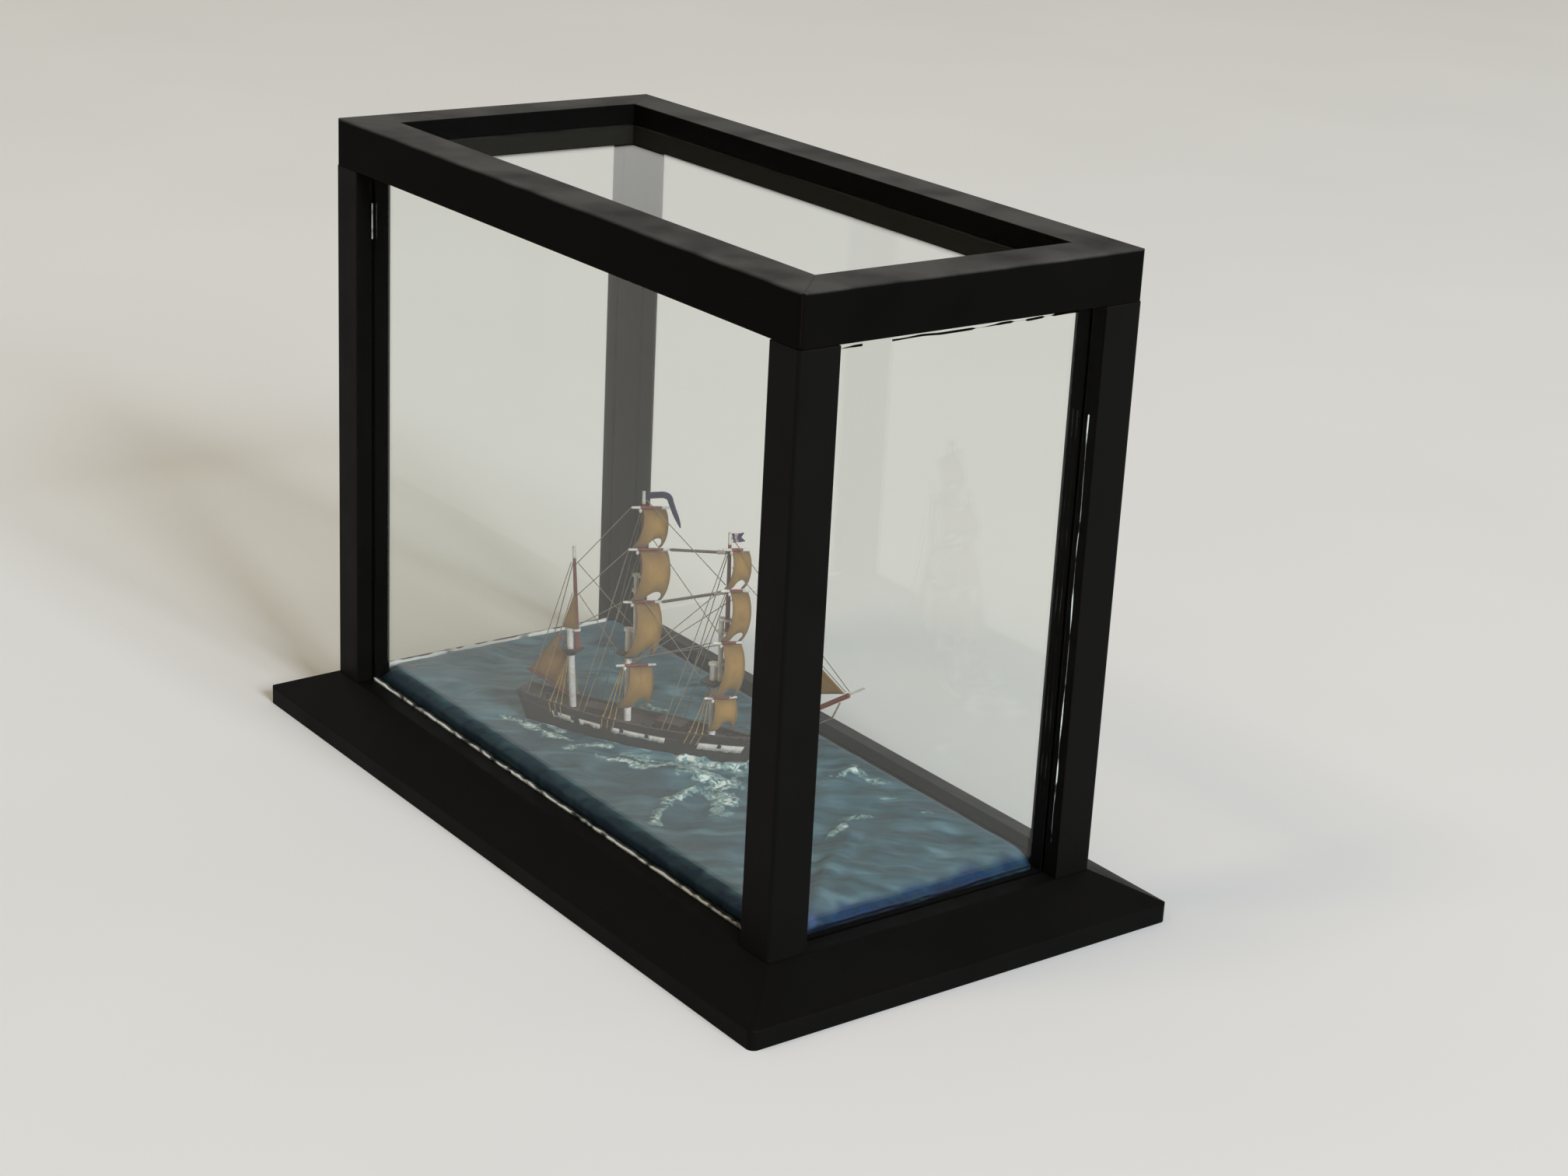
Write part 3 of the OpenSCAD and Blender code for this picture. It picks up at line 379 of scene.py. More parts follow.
def black_paint(look, name, axis, sheen, dust_and_top_light=0.0):
    """Satin black oil paint, brushed on planed softwood along one axis.

    It gives the eye a near-black face with faint brush streaks, a soft sheen, softened edges, and brown wood where
    hands and dusters have rubbed them through. Its last argument is the share of a grey, standing for dust and for
    painted light from above, on the faces that look up.
    """
    material, add, place = finish_of(name)
    # Brush hairs leave streaks about 0.9 mm apart and 30 mm long
    streak_scale = [per(0.9)] * 3
    streak_scale[axis] = per(30)
    streaks = add("TexNoise", add("Mapping", place, Scale=streak_scale), Scale=1, Detail=3)
    # Coverage changes over patches about 25 mm across
    cover = add("TexNoise", place, Scale=per(25), Detail=4)
    skin = add("Mix", cover, look.paint, look.paint_thin, data_type="RGBA")
    # A rounded normal leaves the flat one only near an edge
    rounded = add("Bevel", look.rub, samples=4)
    facing = add("VectorMath", add("NewGeometry", out="Normal"), rounded, operation="DOT_PRODUCT")
    edge = add("Math", 1.0, facing, operation="SUBTRACT")
    # Rubbed spots along an edge are about 7 mm long
    spots = add("TexNoise", place, Scale=per(7), Detail=5)
    worn = add("MapRange", add("Math", edge, spots, operation="MULTIPLY"), 0.07, 0.17, 0.0, 0.18)
    skin = add("Mix", worn, skin, look.bare_wood, data_type="RGBA")
    if dust_and_top_light:
        # Dust and painted light from above: faces that look up are greyed in patches
        true = add("NewGeometry", out="True Normal")
        lying = add("Math", add("SeparateXYZ", true, out="Z"), cover, operation="MULTIPLY")
        lying = add("MapRange", lying, 0.15, 0.6, 0.0, dust_and_top_light)
        skin = add("Mix", lying, skin, look.dust_and_top_light, data_type="RGBA")
        # Faces that look inwards, under the pane, are grey
        outward = add("VectorMath", true, place, operation="DOT_PRODUCT")
        inward = add("Math", outward, -20 * MM, operation="LESS_THAN")
        pane_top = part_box("lid_glass")[1][2]
        under = add("Math", add("SeparateXYZ", place, out="Z"), pane_top, operation="LESS_THAN")
        hidden = add("Math", inward, under, operation="MULTIPLY")
        skin = add("Mix", hidden, skin, look.inside, data_type="RGBA")
    gloss = add("MapRange", cover, 0.3, 0.7, 0.44, 0.58)
    relief = add("Bump", Height=streaks, Strength=0.35, Distance=0.12 * MM, Normal=rounded)
    shader = add("BsdfPrincipled", skin, Roughness=gloss, Normal=relief, Specular_IOR_Level=sheen)
    add("OutputMaterial", shader)
    return material


def window_glass(look):
    """Drawn window glass: clear, faintly green, smooth. Lamps shine straight through it and lose a little in each pane.

    Its index is a little under a real pane's 1.5, so that the pale floor is mirrored only faintly.
    """
    material, add, _ = finish_of("drawn_window_glass")
    glass = add("BsdfPrincipled", look.glass, Transmission_Weight=1.0, Roughness=0.0, IOR=1.41)
    clear = add("BsdfTransparent", look.glass_shade)
    shadow, diffuse = (add("LightPath", out=f"Is {kind} Ray") for kind in ("Shadow", "Diffuse"))
    lamps = add("Math", shadow, diffuse, operation="MAXIMUM")
    add("OutputMaterial", add("MixShader", lamps, glass, clear))
    return material


def glowing_ground_glass(look, name, dark_level, chip_mm):
    """Cut and ground edge of a pane, with a painted glow of the light that the glass carries down to it: rough and
    whitish, near black where a noise is under a level, so it shows in dashes.

    chip_mm is the length of a dash.
    """
    material, add, place = finish_of(name)
    chips = add("TexNoise", place, Scale=per(chip_mm), Detail=6)
    skin = add("ValToRGB", chips, stops=((dark_level, look.edge_gap_dark), (dark_level + 0.1, look.ground_edge_glow)))
    add("OutputMaterial", add("BsdfPrincipled", skin, Roughness=0.55))
    return material


def painted_wood(name, shade, grain_mm, relief_mm=0.03, dark=0.6, spread=1.0, roughness=0.6):
    """Brush paint or stain over fine wood: two tones in soft patches, with grain or brush marks as relief.

    grain_mm is the width of a mark, dark the share of light that the darker tone keeps, and spread how strongly it
    shows. Marks finer than 0.4 mm are drawn that coarse, as finer ones don't show.
    """
    material, add, place = finish_of(name)
    marks = add("TexNoise", place, Scale=per(max(grain_mm, 0.4)), Detail=4)
    patches = add("TexNoise", place, Scale=per(grain_mm * 7), Detail=3)
    both = add("Math", marks, patches, operation="MULTIPLY")
    skin = add("ValToRGB", both, stops=((0.25 - 0.15 * spread, dim(shade, dark)), (0.25 + 0.1 * spread, shade)))
    gloss = add("MapRange", patches, 0.3, 0.7, roughness - 0.08, roughness + 0.08)
    relief = add("Bump", Height=marks, Strength=0.5, Distance=relief_mm * MM)
    add("OutputMaterial", add("BsdfPrincipled", skin, Roughness=gloss, Normal=relief))
    return material


def steel():
    """Plain steel wood screw: turned, dulled by age, its film of rust and grease in spots of about 0.8 mm."""
    material, add, place = finish_of("dulled_steel")
    film = add("TexNoise", place, Scale=per(0.8), Detail=4)
    skin = add("ValToRGB", film, stops=((0.35, linear("#6E6A64")), (0.65, linear("#A5A29C"))))
    gloss = add("MapRange", film, 0.3, 0.7, 0.3, 0.5)
    add("OutputMaterial", add("BsdfPrincipled", skin, Metallic=1.0, Roughness=gloss))
    return material


def oil_sea(look):
    """Oil paint on a carved block: flat brush strokes of grey-blue, strong blue at the rim, thick pale paint for foam.

    The point numbers foam and rim say where the brush laid each. The paint has a faint sheen, and the foam stands up
    in ridges.
    """
    material, add, place = finish_of("oil_painted_sea")
    # Strokes are about 26 mm long and 8 mm wide, and lie level to someone at the near corner
    lie, stroke = (0, 0, math.radians(52)), (26 * MM, 8 * MM, 12 * MM)
    turned = add("Mapping", place, Rotation=lie, Scale=stroke, vector_type="TEXTURE")
    strokes = add("TexNoise", turned, Scale=1, Detail=5, Roughness=0.48, Distortion=0.7)
    water = add("ValToRGB", strokes, stops=((0.32, look.water_deep), (0.47, look.water), (0.68, look.water_pale)))
    calm = add("MapRange", add("TexNoise", place, Scale=per(26), Detail=3), 0.42, 0.62, 0.0, 0.65)
    water = add("Mix", calm, water, look.slate, data_type="RGBA")
    rim = add("Attribute", attribute_name="rim", out="Fac")
    edge = add("MapRange", add("Math", rim, strokes, operation="MULTIPLY"), 0.14, 0.5)
    # Dabs of foam and of the rim's blue are about 3 mm across
    dabs = add("TexNoise", place, Scale=per(3), Detail=3, Distortion=1.2)
    blue = add("ValToRGB", dabs, stops=((0.36, look.rim), (0.56, look.rim_blue)))
    # Painted shade: the blue darkens down the last 2 mm of the fall, unevenly, where the block meets the gap by the
    # pane
    level = add("Math", dabs, 2 * MM, add("SeparateXYZ", place, out="Z"), operation="MULTIPLY_ADD")
    high = add("MapRange", level, 19.4 * MM, 21.2 * MM)
    blue = add("Mix", high, look.rim_foot_shade, blue, data_type="RGBA")
    # It grows stronger over the last 75 mm to the right
    right = add("MapRange", add("SeparateXYZ", place, out="X"), 60 * MM, 135 * MM)
    blue = add("Mix", right, look.rim, blue, data_type="RGBA")
    water = add("Mix", edge, water, blue, data_type="RGBA")
    foam = add("Attribute", attribute_name="foam", out="Fac")
    thick = add("Math", foam, add("Math", dabs, 3.2, -0.82, operation="MULTIPLY_ADD"), operation="MULTIPLY")
    skin = add("Mix", add("MapRange", thick, 0.28, 0.42), water, look.foam_shade, data_type="RGBA")
    skin = add("Mix", add("MapRange", thick, 0.62, 0.92), skin, look.foam, data_type="RGBA")
    height = add("Math", strokes, thick, operation="ADD")
    relief = add("Bump", Height=height, Strength=0.6, Distance=0.5 * MM)
    gloss = add("MapRange", strokes, 0.3, 0.7, 0.4, 0.6)
    shader = add("BsdfPrincipled", skin, Roughness=gloss, Normal=relief, Specular_IOR_Level=0.2)
    add("OutputMaterial", shader)
    return material


def sail_sheet(look):
    """Stiff tan paper for the sails: matt, faintly fibrous, darker towards its edges, where browning and painted shade
    are one tone.
    """
    material, add, place = finish_of("tan_sail_paper")
    off = add("VectorMath", add("TexCoord", out="UV"), (0.5, 0.5, 0), operation="SUBTRACT")
    off = add("VectorMath", off, operation="ABSOLUTE")
    far = add("Math", *(add("SeparateXYZ", off, out=axis) for axis in "XY"), operation="MAXIMUM")
    # Fibres are drawn 0.5 mm wide, as true ones don't show, and stains 6 mm
    fibre = add("TexNoise", place, Scale=per(0.5), Detail=3)
    stain = add("TexNoise", place, Scale=per(6), Detail=3)
    # Browning and painted shade together: the sheet darkens towards its edges
    edge = add("MapRange", far, 0.16, 0.52, 0.0, 0.85)
    age = add("MapRange", stain, 0.4, 0.7, 0.0, 0.6)
    brown = add("Math", edge, age, operation="MAXIMUM")
    skin = add("Mix", brown, look.sail, look.sail_brown_and_shade, data_type="RGBA")
    relief = add("Bump", Height=fibre, Strength=0.3, Distance=0.05 * MM)
    add("OutputMaterial", add("BsdfPrincipled", skin, Roughness=0.8, Normal=relief, Sheen_Weight=0.1))
    return material


def thread_of(name, shade):
    """Waxed cotton thread: matt, with darker gaps between its twisted plies."""
    material, add, place = finish_of(name)
    # The plies' own relief is in the mesh. Fluff and wax change the tone every 0.6 mm.
    fluff = add("TexNoise", place, Scale=per(0.6), Detail=3)
    skin = add("ValToRGB", fluff, stops=((0.3, dim(shade, 0.55)), (0.6, shade)))
    add("OutputMaterial", add("BsdfPrincipled", skin, Roughness=0.85, Sheen_Weight=0.3))
    return material


def flag_paper(name, shade, field=None):
    """Painted paper flag: matt navy with a brushed pale field in the middle of its length, if it has one."""
    material, add, place = finish_of(name)
    # Brush marks are about 0.7 mm wide
    strokes = add("TexNoise", place, Scale=per(0.7), Detail=3)
    skin = add("ValToRGB", strokes, stops=((0.3, dim(shade, 0.6)), (0.65, shade)))
    if field is not None:
        along = add("SeparateXYZ", add("TexCoord", out="UV"), out="Y")
        off = add("Math", add("Math", along, 0.42, operation="SUBTRACT"), operation="ABSOLUTE")
        patch = add("Math", add("MapRange", off, 0.26, 0.16), strokes, operation="MULTIPLY")
        skin = add("Mix", add("MapRange", patch, 0.25, 0.5), skin, field, data_type="RGBA")
    add("OutputMaterial", add("BsdfPrincipled", skin, Roughness=0.7))
    return material


# The ship's lines, in millimetres and degrees, in its own axes: X ahead from amidships, Y to port, Z up from the water

SHIP_AT = (-21.5, -14.0, 23.0)
HEADING = 28.0
STERN_X, STEM_X = 47.0, 58.0
STEM_RAKE, COUNTER = 0.55, 4.5
HALF_BEAM, STEM_HALF, WATERLINE_SHARE = 8.0, 0.45, 0.86
FREEBOARD, BULWARK, BULWARK_T = 7.0, 2.6, 0.9
SHEER_BOW, SHEER_STERN, LOWEST_S, BROADEST_S = 3.2, 2.2, 0.4, 0.45
STERN_LOSS, BOW_POWER = 0.38, 2.3
DECK_T = 0.7
MAST_X = (36.8, 0.0, -24.4)
MAST_RAKE = (-1.7, -1.7, -4.5)
MAST_LEAN = 1.5
# Heights up each mast: top, lower mast's head, topgallant mast's heel and topmast's head
LOWER_Z = ((22.3, 30.0, 42.7, 48.5), (27.6, 37.6, 53.0, 60.0), (23.0, 32.2))
TRUCK_Z = (82.4, 93.0, 65.2)
LOWER_R, TOPMAST_R, TOPGALLANT_R, TRUCK_R = 1.4, 1.0, 1.0, 0.6
POLE_GAP, RIG_GAP = 0.5, 0.1
TOPMAST_X = LOWER_R + TOPMAST_R + POLE_GAP
TOPGALLANT_X = TOPMAST_X + TOPMAST_R + TOPGALLANT_R + POLE_GAP
TOP_T = 0.8
BRACE, CANT = 30.0, 8.0
YARD_Z = ((16.3, 39.0, 60.1, 76.3), (23.1, 49.3, 70.7, 87.3))
YARD_HALF = ((7.4, 7.0, 6.6, 6.2), (9.0, 8.8, 9.4, 8.4))
YARD_R, YARD_OFF, YARD_TAPER, LASH_IN = 0.65, 1.2, 0.62, 0.6
OFF_YARD = at(YARD_R + RIG_GAP, 0, 0)
HEAD_HALF = ((5.0, 4.4, 4.0, 3.9), (5.0, 5.4, 6.2, 5.2))
SAIL_SHIFT, SHEET_T = 2.0, 0.35
FLARE = ((1.2, 1.5, 1.2, 1.0), (3.6, 1.8, 1.4, 2.4))
DROP = ((12.4, 20.8, 19.0, 14.4), (16.4, 21.4, 19.4, 14.8))
SAIL_BELLY, SIDE_FLAT, FOOT_ARCH, ARCH_SHARE, ARCH_IN = 0.25, 0.14, 4.4, 0.58, 1.2
STEEVE, BOWSPRIT_LENGTH, BOWSPRIT_R, BOWSPRIT_REST = 33.0, 40.0, 0.95, 4.0
BOOM_LENGTH, BOOM_Z, BOOM_RISE, BOOM_R = 20.0, 4.4, 25.0, 0.5
GAFF_LENGTH, GAFF_ABOVE_TOP, GAFF_PEAK = 6.0, 2.0, 46.0
ROPE_D, HEAVY_ROPE_D, SHROUD_STEP = 0.3, 1.0, 2.6
PENNANT_W, PENNANT_RUN, PENNANT_TURN_R, PENNANT_HANG = 2.5, 7.1, 1.6, 5.6
FLAG_LENGTH, FLAG_HOIST, FLAG_RISE = 5.0, 3.6, 12.0


def aboard(points):
    """Points carried from the ship's axes to the case's."""
    return turn(points, 2, HEADING) + np.array(SHIP_AT)


def station(x):
    """Share of the hull's length, from the stern."""
    return (x + STERN_X) / (STERN_X + STEM_X)


def deck_at(s):
    """Deck's height: it rises as a square towards both ends."""
    bow = SHEER_BOW * ((s - LOWEST_S) / (1 - LOWEST_S)) ** 2
    return FREEBOARD + np.where(s > LOWEST_S, bow, SHEER_STERN * ((LOWEST_S - s) / LOWEST_S) ** 2)


def rail_at(s):
    """Height of the bulwark's top."""
    return deck_at(s) + BULWARK


def half_beam(s):
    """Half breadth: full a little abaft amidships, less by a square to the stern and by a power to the fine stem."""
    aft = 1 - STERN_LOSS * (np.clip(BROADEST_S - s, 0, 1) / BROADEST_S) ** 2
    ahead = 1 - (np.clip(s - BROADEST_S, 0, 1) / (1 - BROADEST_S)) ** BOW_POWER
    return STEM_HALF + (HALF_BEAM - STEM_HALF) * np.where(s < BROADEST_S, aft, ahead)


def planking(s, t, side, out=0.0):
    """Hull's side at station s and share t of its height: the ends rake with t and the sides flare with t(2 - t)."""
    x = (1 - s) * (COUNTER * (1 - t) - STERN_X) + s * (STEM_X - STEM_RAKE * (1 - t) * rail_at(1.0))
    y = side * (half_beam(s) * (WATERLINE_SHARE + (1 - WATERLINE_SHARE) * t * (2 - t)) + out)
    return at(x, y, t * rail_at(s))


def on_mast(m, v):
    """Points from a mast's own axes to the ship's: leaned, raked and set on the deck."""
    foot = at(MAST_X[m], 0, deck_at(station(MAST_X[m])) + DECK_T)
    return foot + turn(turn(v, 0, -MAST_LEAN), 1, MAST_RAKE[m])


def pole_at(m, z):
    """Place ahead of the lower mast's axis, and radius, of the pole that stands at a height."""
    if z < LOWER_Z[m][1]:
        return 0.0, LOWER_R
    if m == MIZZEN or z < LOWER_Z[m][3]:
        return TOPMAST_X, TOPMAST_R
    return TOPGALLANT_X, TOPGALLANT_R


def on_yard(m, k, v):
    """Points from a yard's axes, X ahead and Y along it to port, to the ship's."""
    x, r = pole_at(m, YARD_Z[m][k])
    middle = at(x + r + YARD_R + RIG_GAP + YARD_OFF, 0, YARD_Z[m][k])
    return on_mast(m, middle + turn(turn(v, 0, -CANT), 2, -BRACE))


def yard_arm(m, k, side):
    """Where a rope is made fast near a yard's end."""
    return on_yard(m, k, at(0, side * (YARD_HALF[m][k] - LASH_IN), 0))


def hitch(m, z, ahead, port):
    """Where a rope is made fast on a mast, clear of the pole, on the side it leads to."""
    x, r = pole_at(m, z)
    return on_mast(m, at(x, 0, z) + (r + ROPE_D / 2 + RIG_GAP) * unit(at(ahead, port, 0)))


def rail_point(x, side):
    """Where a rope is made fast on the rail."""
    return planking(station(x), 1.0, side) + at(0, -side * BULWARK_T / 2, ROPE_D)


def bowsprit_point(along):
    """Point of the bowsprit's axis, measured out from the stem."""
    x = STEM_X - BOWSPRIT_REST
    c, s = math.cos(math.radians(STEEVE)), math.sin(math.radians(STEEVE))
    heel = at(x, 0, rail_at(station(x)) + BOWSPRIT_R / c + 3 * RIG_GAP)
    return heel + (BOWSPRIT_REST / c + along) * at(c, 0, s)


# The jib's stay runs from over the bowsprit, a little in from its end, to the fore mast between its upper yards
TACK_IN, TACK_UP, STAY_OVER_YARD = 1.5, 0.8, 9
JIB_TACK = bowsprit_point(BOWSPRIT_LENGTH - TACK_IN) + at(0, 0, BOWSPRIT_R + TACK_UP)
JIB_STAY_TOP = hitch(FORE, YARD_Z[FORE][TOPGALLANT] + STAY_OVER_YARD, 1, 0)


# Pieces


class SHIPCASE_OT_stage(bpy.types.Operator):
    """Set the camera, floor, lamps and surroundings"""

    bl_idname = "shipcase.stage"
    bl_label = "Stage"

    # In metres: the height that the lamps face, half the floor, and each lamp's place and edge. The large lamp stands
    # high in front and to the left, the cool one low on the right.
    AIM_Z, FLOOR_EDGE = 0.12, 20.0
    KEY, FILL = ((-1.5, -5.7, 9.4), 2.4), ((8.8, -0.4, 4.8), 3.2)

    def execute(self, context):
        scene = context.scene
        look = scene.shipcase_stage
        camera = bpy.data.objects.new("camera", bpy.data.cameras.new("camera"))
        camera.data.lens = look.lens
        camera.location = look.camera_at
        camera.rotation_euler = look.camera_turn
        scene.collection.objects.link(camera)
        scene.camera = camera
        self.floor(look, scene)
        self.lamp(scene, "key_lamp", *self.KEY, look.key_power, look.key_tint)
        self.lamp(scene, "fill_lamp", *self.FILL, look.fill_power, look.fill_tint)
        self.surroundings(look, scene)
        scene.view_settings.view_transform = "Standard"
        return {"FINISHED"}

    def floor(self, look, scene):
        """Flat sheet of pale matt card, 40 m across so that its far edge doesn't show, unevenly pale every 260 mm."""
        material, add, place = finish_of("pale_matt_card")
        wash = add("TexNoise", place, Scale=per(260), Detail=2)
        skin = add("ValToRGB", wash, stops=((0.3, dim(look.floor, 0.97)), (0.7, look.floor)))
        add("OutputMaterial", add("BsdfPrincipled", skin, Roughness=0.9))
        corners = self.FLOOR_EDGE * np.array([(-1, -1, 0), (1, -1, 0), (1, 1, 0), (-1, 1, 0)])
        mesh = bpy.data.meshes.new("floor")
        mesh.from_pydata(corners.tolist(), [], [(0, 1, 2, 3)])
        mesh.materials.append(material)
        sheet = bpy.data.objects.new("floor", mesh)
        scene.collection.objects.link(sheet)

    def lamp(self, scene, name, place, size, power, tint):
        """Square soft lamp that faces the middle of the case."""
        light = bpy.data.lights.new(name, "AREA")
        light.size = size
        light.energy = power
        light.color = tint
        lamp = bpy.data.objects.new(name, light)
        scene.collection.objects.link(lamp)
        x, y, z = lamp.location = place
        lamp.rotation_euler = (math.atan2(math.hypot(x, y), z - self.AIM_Z), 0, math.atan2(y, x) + math.pi / 2)

    def surroundings(self, look, scene):
        """Even light all round, with the pale surroundings themselves for what is seen or mirrored."""
        scene.world = bpy.data.worlds.new("surroundings")
        scene.world.use_nodes = True
        scene.world.node_tree.nodes.clear()
        add = partial(add_node, scene.world.node_tree)
        rays = ("Is Camera Ray", "Is Glossy Ray", "Is Transmission Ray")
        camera, glossy, through = (add("LightPath", out=ray) for ray in rays)
        seen = add("Math", add("Math", camera, glossy, operation="MAXIMUM"), through, operation="MAXIMUM")
        light = add("Background", look.sky_tint, look.sky_light)
        shown = add("Background", look.sky, 1.0)
        add("OutputWorld", add("MixShader", seen, light, shown))


class SHIPCASE_OT_case(bpy.types.Operator):
    """Paint the plinth, posts and lid rails, and dull the screws"""

    bl_idname = "shipcase.case"
    bl_label = "Case"

    # Each group of nodes is brushed along its length, X, Y or Z, and has its own sheen and share of grey for dust and
    # painted light from above
    PAINTED = {
        "plinth": (0, 0.035, 0.0, ("base_plinth",)),
        "posts": (2, 0.05, 0.0, ("post_front_left", "post_front_right", "post_back_left", "post_back_right")),
        "long_rails": (0, 0.012, 0.65, ("lid_rail_front", "lid_rail_back")),
        "end_rails": (1, 0.012, 0.65, ("lid_rail_left", "lid_rail_right")),
    }

    def execute(self, context):
        look = context.scene.shipcase_case
        for group, (axis, sheen, dust_and_top_light, nodes) in self.PAINTED.items():
            dress(black_paint(look, "black_paint_on_" + group, axis, sheen, dust_and_top_light), *nodes)
        dress(steel(), "post_screws")
        return {"FINISHED"}


class SHIPCASE_OT_glazing(bpy.types.Operator):
    """Glaze the case, with the panes' ground feet and their painted glow, painted glints by two posts, and the paint
    that laps over the glass
    """

    bl_idname = "shipcase.glazing"
    bl_label = "Glazing"

    # Ground feet: in from a pane's faces, up from its edge, how far the top wanders, and short of its ends
    FOOT_INSET, FOOT_LIFT, FOOT_WANDER, FOOT_SHORT = 0.15, 0.1, 0.4, 4
    # Paint laps: from y to y, then their height, rise for each mm and thickness
    LAPS = ((-55, -42), (-30, 50))
    LAP_Z, LAP_CLIMB, LAP_T = 225.3, 0.0085, 0.06
    # Painted glints, as thin whitish threads, x, y and from z to z: a short run by the left post and a long one by the
    # back post
    GLINT_RUNS = ((-135.3, -65.1, 202, 216), (147.4, 55.9, 30, 190))

    def execute(self, context):
        look = context.scene.shipcase_case
        dress(window_glass(look), "pane_front", "pane_back", "pane_left", "pane_right", "lid_glass")
        chipped = glowing_ground_glass(look, "chipped_glass_edge_glow", 0.39, 8)
        clean = glowing_ground_glass(look, "ground_glass_edge_glow", 0.3, 9)
        # The left pane's edge shows over the sea, so its strip of painted glow is taller
        for pane, tall, edge in (("pane_front", 1.0, chipped), ("pane_left", 2.8, clean)):
            low, high = (np.array(corner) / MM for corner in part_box(pane))
            piece("foot_of_" + pane, [solid(self.foot(low, high, tall))], [edge])
        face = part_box("pane_right")[1][0] / MM
        laps = [solid(self.lap(face, *run)) for run in self.LAPS]
        piece("paint_lap", laps, [black_paint(look, "black_paint_on_glass", 1, 0.05)])
        # Painted glints along the posts' grooves, in the edges' whitish finish
        piece("painted_glint_runs", [solid(self.glint(*run)) for run in self.GLINT_RUNS], [chipped])
        return {"FINISHED"}

    def strip(self, axis, run, near, far, low, high):
        """Four-sided strip along X or Y: between two places across it, from low to high at each step of its run."""
        rings = np.zeros((len(run), 4, 3))
        rings[..., axis] = run[:, None]
        rings[..., 1 - axis] = near, far, far, near
        rings[:, :2, 2] = np.reshape(low, (-1, 1))
        rings[:, 2:, 2] = np.reshape(high, (-1, 1))
        return rings

    def foot(self, low, high, tall):
        """Ground edge with painted glow inside a pane's foot: a flat whitish strip along the pane, its top wandering up
        and down.
        """
        axis = 0 if high[0] - low[0] > high[1] - low[1] else 1
        run = np.linspace(low[axis] + self.FOOT_SHORT, high[axis] - self.FOOT_SHORT, 240)
        height = tall + self.FOOT_WANDER * noise(run / 3, 0, 5)
        near, far = low[1 - axis] + self.FOOT_INSET, high[1 - axis] - self.FOOT_INSET
        base = low[2] + self.FOOT_LIFT
        return self.strip(axis, run, near, far, base, base + height)

    def lap(self, face, start, end):
        """Run of black paint on the end pane under the lid: a thin line that climbs and wanders as it was brushed."""
        y = np.linspace(start, end, 160)
        z = self.LAP_Z + self.LAP_CLIMB * (y - self.LAPS[0][0]) + 0.25 * noise(y / 9, 0, 3)
        wide = 0.4 * ease(1.6 * noise(y / 6, 0, 8) + 0.9) + 0.02
        return self.strip(1, y, face, face + self.LAP_T, z - wide, z + wide)

    def glint(self, x, y, low, high):
        """Upright whitish thread, a painted glint, that thins to nothing here and there."""
        z = np.linspace(low, high, 120)
        radius = 0.24 * ease(0.6 + 1.1 * noise(z / 11, 0, 17)) + 0.02
        return tube(at(x + 0.3 * noise(z / 14, 0, 18), y, z), radius, 8)


